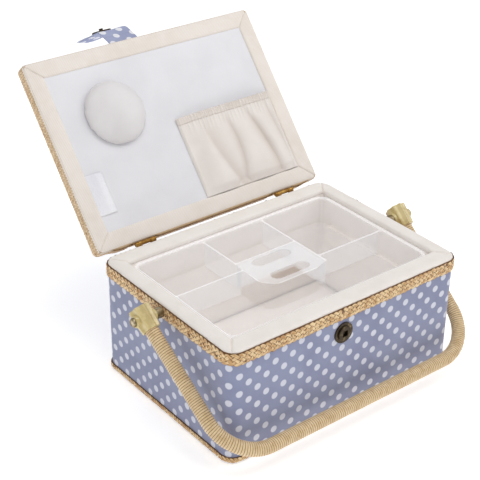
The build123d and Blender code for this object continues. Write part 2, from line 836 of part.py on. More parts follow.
fold_point = root_plane.from_local_coords((0, -strap_root_length, strap_fold_out))
end_plane = strap_plane(fold_point, root_turn + strap_end_turn)
stud_plane = Plane(
    end_plane.from_local_coords((0, -stud_distance, -strap_thickness / 2)),
    end_plane.x_dir,
    -end_plane.z_dir,
)
with BuildPart() as strap_end:
    with BuildSketch(end_plane.offset(-strap_thickness / 2)):
        straight = strap_end_length - strap_fold_gap - strap_width / 2
        with Locations((0, -strap_fold_gap - straight / 2)):
            Rectangle(strap_width, straight)
        with Locations((0, -strap_end_length + strap_width / 2)):
            Circle(strap_width / 2)
    extrude(amount=strap_thickness)
    with BuildSketch(stud_plane):
        Circle(stud_washer_radius)
    extrude(amount=-stud_washer_thickness, mode=Mode.SUBTRACT)
    with BuildSketch(stud_plane):
        Circle(stud_neck_radius)
    extrude(amount=-stud_thickness, mode=Mode.SUBTRACT)
write(strap_end.part, "strap_end")

with BuildPart() as stud_washer:
    with BuildSketch(stud_plane):
        Circle(stud_washer_radius)
        Circle(stud_neck_radius, mode=Mode.SUBTRACT)
    extrude(amount=-stud_washer_thickness)
write(stud_washer.part, "stud_washer")

with BuildPart() as snap_stud:
    with BuildSketch(stud_plane):
        Circle(stud_radius)
    extrude(amount=stud_thickness)
    fillet(snap_stud.edges().group_by(Axis(stud_plane.origin, stud_plane.z_dir))[-1], socket_flange / 2)
    with BuildSketch(stud_plane.offset(stud_thickness)):
        Circle(stud_post_radius)
    extrude(amount=stud_post_length)
    with BuildSketch(stud_plane):
        Circle(stud_neck_radius)
    extrude(amount=-stud_thickness)
write(snap_stud.part, "snap_stud")

# Tray: one moulding with a flange, four partitions and a hollow island with two finger holes
with BuildPart() as tray:
    with BuildSketch(Plane.XY.offset(tray_bottom)):
        RectangleRounded(tray_body_x, tray_body_y, tray_body_radius)
    extrude(amount=tray_height)
    with BuildSketch(Plane.XY.offset(tray_top - tray_flange_thickness)):
        RectangleRounded(tray_width, tray_depth, tray_corner_radius)
    extrude(amount=tray_flange_thickness)
    with BuildSketch(Plane.XY.offset(divider_top)):
        RectangleRounded(tray_inner_x, tray_inner_y, tray_body_radius - tray_wall)
    extrude(amount=divider_drop, mode=Mode.SUBTRACT)
    with BuildSketch(Plane.XY.offset(tray_bottom + tray_floor)) as compartments:
        RectangleRounded(tray_inner_x, tray_inner_y, tray_body_radius - tray_wall)
        with Locations((left_divider_x, left_shelf_y - divider_thickness / 2)):
            Rectangle(
                divider_thickness, tray_inner_y, align=(Align.CENTER, Align.MIN), mode=Mode.SUBTRACT
            )
        with Locations((left_divider_x, left_shelf_y)):
            Rectangle(
                tray_inner_x, divider_thickness, align=(Align.MAX, Align.CENTER), mode=Mode.SUBTRACT
            )
        with Locations((right_divider_x, right_divider_front)):
            Rectangle(
                divider_thickness, tray_inner_y, align=(Align.CENTER, Align.MIN), mode=Mode.SUBTRACT
            )
        with Locations((right_divider_x, right_shelf_y)):
            Rectangle(
                tray_inner_x, divider_thickness, align=(Align.MIN, Align.CENTER), mode=Mode.SUBTRACT
            )
        island_outline(Mode.SUBTRACT)
        offset(amount=-pocket_corner_radius, kind=Kind.INTERSECTION, mode=Mode.REPLACE)
        offset(amount=pocket_corner_radius, kind=Kind.ARC, mode=Mode.REPLACE)
    extrude(amount=divider_top - tray_bottom - tray_floor, mode=Mode.SUBTRACT)
    with BuildSketch(Plane.XY.offset(tray_bottom)):
        island_outline()
        offset(amount=-divider_thickness, kind=Kind.INTERSECTION, mode=Mode.REPLACE)
    extrude(amount=divider_top - tray_bottom - tray_floor, mode=Mode.SUBTRACT)
    with BuildSketch(Plane.XY.offset(divider_top)):
        with Locations((finger_hole_x, finger_bridge_y)):
            with GridLocations(1, finger_hole_spread, 1, 2):
                SlotOverall(finger_hole_length, finger_hole_width)
    extrude(amount=-2 * tray_floor, mode=Mode.SUBTRACT)
write(tray.part, "tray")
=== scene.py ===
import json
import math

import bmesh
import bpy
import numpy as np
from mathutils import Matrix, Vector


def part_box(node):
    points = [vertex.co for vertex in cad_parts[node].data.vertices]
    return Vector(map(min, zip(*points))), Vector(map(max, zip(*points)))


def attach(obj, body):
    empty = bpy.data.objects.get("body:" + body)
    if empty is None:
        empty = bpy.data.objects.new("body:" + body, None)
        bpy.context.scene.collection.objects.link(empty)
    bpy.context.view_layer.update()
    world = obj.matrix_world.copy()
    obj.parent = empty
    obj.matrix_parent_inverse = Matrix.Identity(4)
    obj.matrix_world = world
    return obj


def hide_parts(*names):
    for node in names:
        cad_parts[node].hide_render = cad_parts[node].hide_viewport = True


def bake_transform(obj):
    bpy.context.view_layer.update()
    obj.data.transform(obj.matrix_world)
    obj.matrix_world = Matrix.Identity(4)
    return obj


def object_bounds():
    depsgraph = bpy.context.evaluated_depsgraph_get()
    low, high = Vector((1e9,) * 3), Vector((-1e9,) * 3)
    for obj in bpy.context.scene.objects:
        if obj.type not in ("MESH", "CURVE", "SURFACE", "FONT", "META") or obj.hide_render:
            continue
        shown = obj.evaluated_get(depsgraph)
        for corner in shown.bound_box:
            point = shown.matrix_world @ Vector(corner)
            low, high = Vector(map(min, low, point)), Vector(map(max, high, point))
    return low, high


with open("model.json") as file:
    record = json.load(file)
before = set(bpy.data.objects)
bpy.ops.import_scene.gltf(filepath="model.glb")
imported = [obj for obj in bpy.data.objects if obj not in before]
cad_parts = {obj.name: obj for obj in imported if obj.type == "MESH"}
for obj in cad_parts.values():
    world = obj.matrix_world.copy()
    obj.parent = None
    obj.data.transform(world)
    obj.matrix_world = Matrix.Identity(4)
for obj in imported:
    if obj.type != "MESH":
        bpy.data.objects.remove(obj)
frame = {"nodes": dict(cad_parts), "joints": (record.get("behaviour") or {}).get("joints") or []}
cadLow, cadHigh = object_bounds()
mm = 0.001
print("frame loaded:", len(frame["nodes"]), "nodes")


# ---- places that follow from the frame

def joint(name):
    return next(j for j in frame["joints"] if j["name"] == name)


hinge = joint("lid_hinge")
pinY, pinZ = hinge["pos_m"][1:]
lidOpen = math.radians(-hinge["range_deg"][0])  # the lid stands open at rest
openCos, openSin = math.cos(lidOpen), math.sin(lidOpen)


def onBox(x, y, z):
    # a point of the box, as it stands
    return np.stack(np.broadcast_arrays(x, y, z), axis=-1)


def onLid(x, y, h):
    # a point of the lid by its closed place, y from the pin line and h above it, turned about the pin
    return onBox(x, pinY + y * openCos + h * openSin, pinZ - y * openSin + h * openCos)


def lidHeight(point):
    # height above the pin line that a point of the open lid has when the lid is closed
    return (point[1] - pinY) * openSin + (point[2] - pinZ) * openCos


# ---- surfaces

class Outline:
    # a rounded rectangle walked anticlockwise from the middle of its back, by distance along it:
    # a point on the inner rectangle that moves along the straights,
    # plus the radius times a normal that turns in the corners
    def __init__(self, width, depth, radius, middleY=0.0):
        coreHalf, corner = width / 2 - radius, math.pi * radius / 2
        coreSide, coreEnd = depth - 2 * radius, depth / 2 - radius
        self.radius, self.middleY = radius, middleY
        self.knots = np.cumsum([0, coreHalf, corner, coreSide, corner, 2 * coreHalf, corner, coreSide, corner,
                                coreHalf])
        self.length = self.knots[-1]
        self.coreX = np.array([0, -1, -1, -1, -1, 1, 1, 1, 1, 0]) * coreHalf
        self.coreY = np.array([1, 1, 1, -1, -1, -1, -1, 1, 1, 1]) * coreEnd
        self.turn = np.radians([90, 90, 180, 180, 270, 270, 360, 360, 450, 450])

    def at(self, s, out=0.0):
        s = np.mod(s, self.length)
        turn = np.interp(s, self.knots, self.turn)
        reach = self.radius + out
        x = np.interp(s, self.knots, self.coreX) + reach * np.cos(turn)
        y = np.interp(s, self.knots, self.coreY) + reach * np.sin(turn) + self.middleY
        return x, y

    def atShare(self, g, out=0.0):
        # g counts the nine stretches, so that two outlines can be walked side by side
        return self.at(np.interp(g, np.arange(10), self.knots - 1e-12), out)

    def steps(self, spacing, start=0.0, end=None, cornerSteps=8):
        # distances along the outline, closer together in the corners
        end = self.length if end is None else end
        parts = []
        for first, last, corner in zip(self.knots[:-1], self.knots[1:], [0, 1] * 4 + [0]):
            count = max(int(math.ceil((last - first) / spacing)), cornerSteps if corner else 1)
            parts.append(np.linspace(first, last, count, endpoint=False))
        s = np.concatenate(parts)
        s = s[(s > start + spacing / 4) & (s < end - spacing / 4)]
        return np.concatenate([[start], s, [] if end == self.length and start == 0.0 else [end]])


def ripple(points, scale, seed, waves=7):
    # smooth unevenness from about -1 to 1: a sum of plane sine waves through space,
    # with directions and phases drawn from the seed
    draw = np.random.default_rng(seed)
    total = np.zeros(points.shape[:-1])
    for _ in range(waves):
        way = draw.normal(size=3)
        way *= 2 * math.pi * draw.uniform(0.6, 1.5) / scale / np.linalg.norm(way)
        total = total + np.sin(points @ way + draw.uniform(0, 2 * math.pi))
    gain = 1.6  # a mean of waves seldom reaches its full height
    return total / waves * gain


def ease(low, high, value):
    # 0 below low, 1 above high and smooth between
    t = np.clip((value - low) / (high - low), 0, 1)
    return t * t * (3 - 2 * t)


def gridFaces(rows, cols, closeU, closeV, first):
    # the quads of a grid of points, joined up where a direction closes
    i = np.arange(rows if closeU else rows - 1)[:, None]
    j = np.arange(cols if closeV else cols - 1)[None, :]
    iNext, jNext = (i + 1) % rows, (j + 1) % cols
    quads = np.stack([i * cols + j, iNext * cols + j, iNext * cols + jNext, i * cols + jNext], axis=-1)
    return quads.reshape(-1, 4) + first


def gridUv(u, v, closeU, closeV):
    # corner coordinates of the same quads, from values that have one more entry where a direction closes
    i = np.arange(u.shape[0] - 1)[:, None]
    j = np.arange(u.shape[1] - 1)[None, :]
    corners = [(i, j), (i + 1, j), (i + 1, j + 1), (i, j + 1)]
    return np.stack([np.stack([u[a, b], v[a, b]], axis=-1) for a, b in corners], axis=-2).reshape(-1, 4, 2)


def pieceFrom(name, patches, finish, smooth=True):
    # patches are (points, closeU, closeV, u, v, capped) grids that make up one piece;
    # a capped tube gets a fan at both ends
    points, faces, uvs, count = [], [], [], 0
    for grid, closeU, closeV, u, v, capped in patches:
        rows, cols = grid.shape[:2]
        points.append(grid.reshape(-1, 3))
        faces += gridFaces(rows, cols, closeU, closeV, count).tolist()
        uvs.append(gridUv(u, v, closeU, closeV).reshape(-1, 2))
        if capped:
            for row, middle in ((0, rows * cols), (rows - 1, rows * cols + 1)):
                ring = row * cols + np.arange(cols)
                fan = np.stack([ring, np.roll(ring, -1), np.full(cols, middle)], axis=-1) + count
                faces += fan.tolist()
                around = np.stack([u[row], v[row]], axis=-1)[:cols]
                uvs.append(np.stack([around, np.roll(around, -1, 0), around], axis=1).reshape(-1, 2))
            points.append(grid[[0, -1]].mean(axis=1))
            count += 2
        count += rows * cols
    mesh = bpy.data.meshes.new(name)
    mesh.from_pydata(np.concatenate(points).tolist(), [], faces)
    layer = mesh.uv_layers.new(name="UVMap")
    layer.data.foreach_set("uv", np.concatenate(uvs).astype(np.float32).ravel())
    work = bmesh.new()
    work.from_mesh(mesh)
    bmesh.ops.remove_doubles(work, verts=work.verts, dist=1e-6)
    bmesh.ops.dissolve_degenerate(work, dist=1e-7, edges=work.edges)
    bmesh.ops.recalc_face_normals(work, faces=work.faces)
    work.to_mesh(mesh)
    work.free()
    mesh.polygons.foreach_set("use_smooth", np.full(len(mesh.polygons), smooth))
    mesh.materials.append(finish.material)
    piece = bpy.data.objects.new(name, mesh)
    bpy.context.scene.collection.objects.link(piece)
    return piece


def spread(u, v):
    # two rows of values as the corner coordinates of a grid
    return np.meshgrid(u, v, indexing="ij")


def closed(grid):
    # a grid with its first column repeated at the end
    return np.concatenate([grid, grid[:, :1]], axis=1)


def wrapOn(values, whole):
    # values round a closed direction, with the first one repeated a whole turn on
    return np.append(values, values[0] + whole)


def settle(piece, body, slot, *nodes):
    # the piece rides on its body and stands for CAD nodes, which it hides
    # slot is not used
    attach(piece, body)
    if nodes:
        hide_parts(*nodes)
    return piece


def circle(count):
    # equal angles once round
    return np.linspace(0, 2 * math.pi, count, endpoint=False)


def squared(value, power):
    # a sine or cosine raised to a power with its sign kept, which squares off a round section
    return np.sign(value) * np.abs(value) ** power


def clothFrom(name, points, x, y, thickness, finish):
    # an open grid of cloth, thickened to both sides
    u, v = spread(x[:, 0], y[0])
    piece = pieceFrom(name, [(points, False, False, u, v, False)], finish)
    wall = piece.modifiers.new("thickness", "SOLIDIFY")
    wall.thickness, wall.offset, wall.use_even_offset = thickness, 0.0, True
    return piece


# ---- materials

def operator(operation):
    # a method that feeds its value and another one to a math node
    return lambda wire, other: wire.finish.math(operation, wire, other)


def swapped(operation):
    # the same with the other one first, for a number on the left of the sign
    return lambda wire, other: wire.finish.math(operation, other, wire)


class Wire:
    # one value of a material, which takes Python's operators
    def __init__(self, finish, socket):
        self.finish, self.socket = finish, socket

    def __neg__(self):
        return self.finish.math("MULTIPLY", self, -1.0)

    def __abs__(self):
        return self.finish.math("ABSOLUTE", self)

    def sin(self):
        return self.finish.math("SINE", self)

    def root(self):
        return self.finish.math("SQRT", self)

    __add__, __radd__ = operator("ADD"), swapped("ADD")
    __sub__, __rsub__ = operator("SUBTRACT"), swapped("SUBTRACT")
    __mul__, __rmul__ = operator("MULTIPLY"), swapped("MULTIPLY")
    __truediv__, __rtruediv__ = operator("DIVIDE"), swapped("DIVIDE")
    __pow__, least, most = operator("POWER"), operator("MINIMUM"), operator("MAXIMUM")

    def saw(self, period):
        # distance from the nearest multiple of the period, with its sign
        return (self.finish.math("FRACT", self / period + 0.5) - 0.5) * period

    def between(self, low, high):
        # 0 at low, 1 at high and smooth between
        links = {"Value": self, "From Min": low, "From Max": high}
        return self.finish.node("MapRange", {"interpolation_type": "SMOOTHSTEP"}, links)


def tint(red, green, blue):
    # a screen colour as linear light
    part = np.array([red, green, blue]) / 255
    linear = np.where(part <= 0.04045, part / 12.92, ((part + 0.055) / 1.055) ** 2.4)
    return (*linear.tolist(), 1.0)


class Finish:
    # a material: constants go straight onto the shader's sockets, and node() adds any other node
    def __init__(self, name, color, roughness, **constants):
        self.material = bpy.data.materials.new(name)
        self.material.use_nodes = True
        self.tree = self.material.node_tree
        self.shader = self.tree.nodes["Principled BSDF"]
        self.feed("Base Color", color)
        self.feed("Roughness", roughness)
        for key, value in constants.items():
            self.feed(key.replace("_", " "), value)

    def feed(self, socket, value):
        if isinstance(socket, str):
            socket = self.shader.inputs[socket]
        if isinstance(value, Wire):
            self.tree.links.new(value.socket, socket)
        else:
            socket.default_value = value

    def node(self, kind, settings=None, links=None, output=0):
        made = self.tree.nodes.new("ShaderNode" + kind)
        for key, value in (settings or {}).items():
            setattr(made, key, value)
        for key, value in (links or {}).items():
            self.feed(made.inputs[key], value)
        return Wire(self, made.outputs[output])

    def math(self, operation, *values):
        return self.node("Math", {"operation": operation}, dict(enumerate(values)))

    def place(self):
        return self.node("TexCoord", output="Object")

    def cloth(self):
        return self.node("TexCoord", output="UV")

    def axes(self, vector):
        made = self.node("SeparateXYZ", links={0: vector})
        return [Wire(self, made.socket.node.outputs[i]) for i in range(3)]

    def scaled(self, vector, x, y, z):
        return self.node("VectorMath", {"operation": "MULTIPLY"}, {0: vector, 1: (x, y, z)})

    def fibres(self, x, y, detail):
        # noise stretched along the cloth, by how often it changes each way
        return self.noise(self.scaled(self.cloth(), x, y, 1.0), 1.0, detail)

    def noise(self, vector, scale, detail=3.0):
        return self.node("TexNoise", links={"Vector": vector, "Scale": scale, "Detail": detail}, output="Fac")

    def mix(self, factor, first, second):
        return self.node("Mix", {"data_type": "RGBA"}, {0: factor, 6: first, 7: second}, output=2)

    def emboss(self, height, distance):
        # relief: height times distance, as a bump on the surface
        self.feed("Normal", self.node("Bump", links={"Height": height, "Distance": distance}))


def weaveHeight(along, across, thread):
    # plain weave: crossing rows of round threads
    turn = 2 * math.pi / thread
    return ((along * turn).sin() * (across * turn).sin()) * 0.5 + 0.5


def twillHeight(along, across, pitch):
    # twill: diagonal ribs
    return ((along + across) * (2 * math.pi / pitch)).sin() * 0.5 + 0.5


dots = {"radius": 2.95 * mm, "column": 8.6 * mm, "repeat": 16.2 * mm, "soft": 0.4 * mm, "thread": 0.9 * mm}
boxTones = {"ground": tint(143, 149, 179), "groundShade": tint(133, 138, 168), "dot": tint(217, 219, 232)}
# painted light: the strap's tones are a lighter copy of the box's, as the strap's upturned top catches more
# light
litStrapTones = {"ground": tint(166, 174, 206), "groundShade": tint(152, 160, 194), "dot": tint(240, 241, 248)}


def dottedFabric(name, tones):
    made = Finish(name, tones["ground"], 0.82, Sheen_Weight=0.25, Sheen_Roughness=0.5)
    along, across, _ = made.axes(made.cloth())
    column, repeat = 2 * dots["column"], dots["repeat"]
    first = (along.saw(column) ** 2.0 + across.saw(repeat) ** 2.0).root()
    second = ((along + column / 2).saw(column) ** 2.0 + (across + repeat / 2).saw(repeat) ** 2.0).root()
    near = first.least(second)
    dot = 1.0 - near.between(dots["radius"] - dots["soft"], dots["radius"] + dots["soft"])
    patch = made.noise(made.place(), 30.0)
    fibre = made.noise(made.place(), 900.0, 2.0)
    ground = made.mix(patch.between(0.35, 0.7), tones["ground"], tones["groundShade"])
    made.feed("Base Color", made.mix(dot * (0.9 + 0.1 * fibre), ground, tones["dot"]))
    made.emboss(weaveHeight(along, across, dots["thread"]) + fibre * 0.4, 0.05 * mm)
    return made


def twillFabric(name, color, shade, pitch, roughness=0.85):
    made = Finish(name, color, roughness, Sheen_Weight=0.3, Sheen_Roughness=0.45)
    along, across, _ = made.axes(made.cloth())
    ribs = twillHeight(along, across, pitch)
    patch = made.noise(made.place(), 55.0)
    fibre = made.noise(made.place(), 1200.0, 2.0)
    dark = ribs * 0.45 + patch.between(0.35, 0.75) * 0.35 + fibre * 0.2
    made.feed("Base Color", made.mix(dark, color, shade))
    made.emboss(ribs + fibre * 0.5, 0.08 * mm)
    return made


def satin(name, color, shade, roughness=0.42, weave=0.35 * mm, fold=None):
    made = Finish(name, color, roughness, Sheen_Weight=0.35, Sheen_Roughness=0.3)
    x, y, _ = made.axes(made.cloth())
    patch = made.noise(made.place(), 28.0)
    threads = (x * (2 * math.pi / weave)).sin() * 0.5 + 0.5
    fibre = made.noise(made.scaled(made.cloth(), 1.0, 0.15, 1.0), 1500.0, 2.0)
    tone = made.mix(patch.between(0.3, 0.75) * 0.7 + fibre * 0.3, color, shade)
    # painted shade: the fold attribute mixes a darker colour into the bottoms of the pocket's folds
    if fold:
        deep = made.node("Attribute", {"attribute_name": "fold"}, output="Fac")
        tone = made.mix(deep * 0.5, tone, fold)
    made.feed("Base Color", tone)
    made.feed("Roughness", roughness - 0.08 + fibre * 0.16)
    made.emboss(threads * 0.4 + fibre * 0.6 + patch, 0.03 * mm)
    return made


# gap is painted shade, for the edges of the strands and the holes in the braid
straw = {"light": tint(246, 218, 170), "deep": tint(186, 136, 78), "gap": tint(98, 62, 30)}


def strawStrands(name, light, deep, gap):
    # long fibres that run along each strand, with painted shade that darkens it towards its two edges and in
    # scattered holes;
    # v goes once round it from 0 to 1
    made = Finish(name, light, 0.48, Sheen_Weight=0.1, Specular_IOR_Level=0.45)
    fibre = made.fibres(60.0, 9.0, 4.0)
    broad = made.fibres(150.0, 1.5, 2.0)
    _, around, _ = made.axes(made.cloth())
    edge = abs((around * (2 * math.pi) + math.pi / 2).sin())
    hole = made.noise(made.place(), 210.0, 2.0)
    body = made.mix(fibre.between(0.35, 0.65) * 0.4 + broad.between(0.42, 0.6) * 0.6, light, deep)
    # painted shade: the gap colour darkens the strands' edges and scattered holes
    dark = edge.between(0.6, 0.95).most(hole.between(0.62, 0.72))
    made.feed("Base Color", made.mix(dark, body, gap))
    made.feed("Roughness", 0.36 + fibre * 0.3)
    made.emboss(fibre, 0.12 * mm)
    return made


def bandBacking(name, dark, light):
    # painted shade: a dark band for the shaded inside of a braid, seen through its gaps
    made = Finish(name, dark, 0.8)
    fibre = made.fibres(200.0, 2000.0, 3.0)
    made.feed("Base Color", made.mix(fibre, dark, light))
    made.emboss(fibre, 0.1 * mm)
    return made


def plainFinish(name, light, dark, roughness, grain, relief, **constants):
    # one colour with fine mottling, for moulded and hidden pieces
    made = Finish(name, light, roughness, **constants)
    mottle = made.noise(made.place(), grain)
    made.feed("Base Color", made.mix(mottle.between(0.35, 0.7), light, dark))
    made.feed("Roughness", roughness - 0.06 + mottle * 0.12)
    made.emboss(mottle, relief)
    return made


def wornBrass(name, light, dark, roughness, wear):
    # metal that is dark in its mottled patches and bare where it has been rubbed
    made = Finish(name, light, roughness, Metallic=1.0)
    mottle = made.noise(made.place(), 260.0, 5.0)
    scratch = made.noise(made.scaled(made.place(), 300.0, 300.0, 2500.0), 1.0, 2.0)
    worn = (mottle * 0.75 + scratch * 0.25).between(wear, wear + 0.25)
    made.feed("Base Color", made.mix(worn, dark, light))
    made.feed("Roughness", roughness + 0.12 - worn * 0.15)
    made.emboss(mottle, 0.05 * mm)
    return made


# glow: painted light, an emission that stands in for light scattered through the plastic
trayLook = {"milk": tint(246, 246, 248), "wall": 0.15, "edge": 0.48, "island": 0.3, "roughness": 0.2,
            "glow": 0.3, "drop": 1.0 * mm,  # the dividers end this far below the rim
            "islandX": (-35.5 * mm, 31 * mm), "islandY": (-26 * mm, 20 * mm)}


def clearPlastic():
    # thin milky moulding: nearly clear walls, and whiter on the top edges, where light leaves the plastic; a
    # faint painted glow all over stands in for light scattered through it
    made = Finish("clear tray plastic", trayLook["milk"], trayLook["roughness"], IOR=1.49,
                  Emission_Color=trayLook["milk"], Emission_Strength=trayLook["glow"])
    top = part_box("tray")[1].z
    x, y, z = made.axes(made.place())
    divider = 1.0 - abs(z - (top - trayLook["drop"])).between(0.05 * mm, 0.5 * mm)
    lip = z.between(top - 0.3 * mm, top) * 0.3
    (left, right), (front, back) = trayLook["islandX"], trayLook["islandY"]
    depth = (x - left).least(right - x).least((y - front).least(back - y))  # how deep inside the island
    island = depth.between(0.6 * mm, 1.6 * mm)
    cloud = made.noise(made.place(), 40.0)
    rims = divider * (trayLook["edge"] - island * (trayLook["edge"] - trayLook["island"]))
    made.feed("Alpha", (trayLook["wall"] + cloud * 0.04).most(rims).most(lip))
    made.feed("Roughness", trayLook["roughness"] + cloud * 0.12)
    made.emboss(cloud, 0.02 * mm)
    return made


fabric = dottedFabric("dotted fabric", boxTones)
# painted light: the strap's lighter copy of the dotted fabric
litStrapFabric = dottedFabric("dotted strap fabric", litStrapTones)
creamRim = twillFabric("cream rim twill", tint(252, 247, 242), tint(238, 230, 222), 1.3 * mm)
borderTwill = twillFabric("border twill", tint(244, 237, 230), tint(226, 216, 205), 1.9 * mm)
liningCloth = twillFabric("lining cloth", tint(250, 243, 237), tint(240, 230, 222), 1.3 * mm)
whiteSatin = satin("white satin", tint(233, 232, 236), tint(224, 223, 227))
cushionSatin = satin("cushion satin", tint(230, 227, 228), tint(217, 213, 214))
# the pocket's fold colour is painted shade for the bottoms of its folds
pocketSatin = satin("pocket satin", tint(240, 233, 228), tint(228, 220, 213), fold=tint(190, 172, 158))
elastic = twillFabric("gathered elastic", tint(236, 229, 222), tint(222, 212, 203), 1.0 * mm)
labelTape = satin("label tape", tint(246, 246, 249), tint(226, 226, 234), 0.28, 0.5 * mm)
strawBraid = strawStrands("straw strands", straw["light"], straw["deep"], straw["gap"])
# the lid braid's gap colour is a lighter painted shade
lidStraw = strawStrands("lid braid strands", tint(238, 212, 174), tint(202, 168, 124), tint(158, 122, 82))
# painted shade: the backings' colours stand in for the shade inside the braids
backing = bandBacking("braid backing", tint(92, 60, 30), tint(146, 102, 54))
lidBacking = bandBacking("lid braid backing", tint(176, 148, 112), tint(206, 180, 144))
capPlastic = plainFinish("pale gold plastic", tint(218, 200, 144), tint(194, 172, 112), 0.26, 120.0,
                         0.02 * mm, Coat_Weight=0.6, Coat_Roughness=0.15)
corePlastic = plainFinish("core plastic", tint(196, 190, 176), tint(176, 170, 156), 0.5, 80.0, 0.02 * mm)
boardCard = plainFinish("grey board", tint(168, 156, 138), tint(142, 130, 112), 0.9, 300.0, 0.1 * mm)
baseCard = plainFinish("base card", tint(216, 206, 190), tint(196, 184, 166), 0.85, 220.0, 0.06 * mm)
wadding = plainFinish("wadding", tint(236, 234, 228), tint(220, 217, 210), 0.95, 500.0, 0.3 * mm)
antiqueBrass = wornBrass("antique brass", tint(150, 132, 100), tint(72, 62, 50), 0.36, 0.5)
hingeBrass = wornBrass("hinge brass", tint(208, 168, 96), tint(150, 110, 54), 0.34, 0.46)
screwSteel = wornBrass("screw steel", tint(206, 192, 162), tint(140, 124, 96), 0.36, 0.45)
trayPlastic = clearPlastic()
print("materials made")

dressing = {
    trayPlastic: ["tray"],
    antiqueBrass: ["snap_socket", "snap_washer", "snap_stud", "stud_washer"],
    hingeBrass: ["left_box_leaf", "right_box_leaf", "left_lid_leaf", "right_lid_leaf", "left_hinge_pin",
                 "right_hinge_pin"],
    screwSteel: ["box_leaf_screws", "lid_leaf_screws", "left_pivot_screw", "right_pivot_screw",
                 "left_pivot_nut", "right_pivot_nut", "left_spacer", "right_spacer"],
    capPlastic: ["left_cap", "right_cap"],
    corePlastic: ["handle_core"],
    boardCard: ["bottom_board", "front_board", "back_board", "left_board", "right_board", "lid_board"],
    baseCard: ["base_sheet"],
    wadding: ["lid_padding"],
    liningCloth: ["tray_ledge_left", "tray_ledge_right"],
}
for finish, names in dressing.items():
    for name in names:
        mesh = frame["nodes"][name].data
        mesh.materials.clear()
        mesh.materials.append(finish.material)


# ---- stage, light and camera

white = (1.0, 1.0, 1.0, 1.0)
stage = {"half": 8.0, "floor": tint(245, 245, 245), "roughness": 0.9, "glow": 0.5, "world": 0.46,
         "gap": 0.2 * mm}
lights = [  # offsets from the middle of the object
    {"name": "keyLight", "offset": (1.1, -0.5, 1.0), "size": 0.8, "power": 4.5},
    {"name": "fillLight", "offset": (-0.9, -0.9, 0.8), "size": 1.2, "power": 2.6},
    {"name": "topLight", "offset": (0.1, -0.2, 1.6), "size": 0.9, "power": 7.5},
]
camera = {"azimuth": -38.39, "elevation": 29.70, "roll": 0.72, "lens": 93.87, "sensor": 36.0,
          "clip": (0.01, 50.0), "place": (-583 * mm, -680 * mm, 631 * mm)}


def makeStage():
    floorFinish = Finish("floor", stage["floor"], stage["roughness"], Emission_Color=white,
                         Emission_Strength=stage["glow"])
    low, s = cadLow.z - stage["gap"], stage["half"]
    grid = np.array([[(-s, -s, low), (-s, s, low)], [(s, -s, low), (s, s, low)]])
    u, v = spread(np.array([0.0, 1.0]), np.array([0.0, 1.0]))
    floor = pieceFrom("floor", [(grid, False, False, u, v, False)], floorFinish, smooth=False)
    world = bpy.data.worlds.new("studio")
    world.use_nodes = True
    sky = world.node_tree.nodes["Background"].inputs
    sky["Color"].default_value, sky["Strength"].default_value = white, stage["world"]
    bpy.context.scene.world = world
    bpy.context.scene.view_settings.view_transform = "Standard"
    centre = (cadLow + cadHigh) / 2
    for settings in lights:
        name, offset = settings["name"], Vector(settings["offset"])
        light = bpy.data.objects.new(name, bpy.data.lights.new(name, "AREA"))
        light.data.energy, light.data.size = settings["power"], settings["size"]
        light.location = centre + offset
        light.rotation_euler = (-offset).to_track_quat("-Z", "Y").to_euler()
        bpy.context.scene.collection.objects.link(light)


def makeCamera():
    a, e, r = (math.radians(camera[k]) for k in ("azimuth", "elevation", "roll"))
    back = Vector((math.sin(a) * math.cos(e), -math.cos(a) * math.cos(e), math.sin(e)))
    right = Vector((math.cos(a), math.sin(a), 0.0))
    up = back.cross(right)
    right, up = right * math.cos(r) + up * math.sin(r), up * math.cos(r) - right * math.sin(r)
    lens = bpy.data.cameras.new("camera")
    lens.lens, lens.sensor_width = camera["lens"], camera["sensor"]
    lens.clip_start, lens.clip_end = camera["clip"]
    eye = bpy.data.objects.new("camera", lens)
    turn = Matrix((right, up, back)).transposed().to_4x4()
    eye.matrix_world = Matrix.Translation(camera["place"]) @ turn
    bpy.context.scene.collection.objects.link(eye)
    bpy.context.scene.camera = eye


makeStage()
makeCamera()
print("stage and camera set")


# ---- fabric round the box

skinLow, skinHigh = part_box("outer_fabric")
skin = {"corner": 11 * mm, "thickness": 0.8 * mm, "rows": 34, "spacing": 3 * mm, "pucker": 0.22 * mm,
        "braidFrom": 60 * mm, "braidAt": 95 * mm}
boxOutline = Outline(skinHigh.x - skinLow.x, skinHigh.y - skinLow.y, skin["corner"])


def makeFabricSkin():
    # a closed loop of a thin rectangle carried round the outline;
    # its outer face is slightly uneven, more so under the braid
    s = boxOutline.steps(skin["spacing"])
    z = np.linspace(skinLow.z, skinHigh.z, skin["rows"])
    out = np.concatenate([np.zeros(len(z)), np.full(len(z), -skin["thickness"])])
    level = np.concatenate([z, z[::-1]])
    x, y = boxOutline.at(s[:, None], out[None, :])
    points = onBox(x, y, level[None, :])
    outer = out[None, :] > -skin["thickness"] / 2
    broad, fine = ripple(points, 60 * mm, 11), ripple(points * [1, 1, 0.35], 14 * mm, 12)
    lift = skin["pucker"] * (broad * 0.6 + fine * 0.5 * ease(skin["braidFrom"], skin["braidAt"], level))
    x, y = boxOutline.at(s[:, None], out[None, :] + np.where(outer, lift, 0))
    points = onBox(x, y, level[None, :])
    u, v = spread(wrapOn(s, boxOutline.length), wrapOn(level, 0))
    piece = pieceFrom("fabric_skin", [(points, True, True, u, v, False)], fabric)
    settle(piece, "box", "dotted_fabric", "outer_fabric")


makeFabricSkin()
print("fabric skin made")


# ---- plaited braid

plait = {"tuck": 0.8, "wanderScale": 11 * mm, "seam": 5 * mm, "swing": 0.97, "cross": 0.5,
         "swell": 0.12, "swellScale": 7 * mm, "swellStep": 2.1}  # what every plait has in common


def flush(s):
    # the band follows its outline all the way
    return 0.0 * s


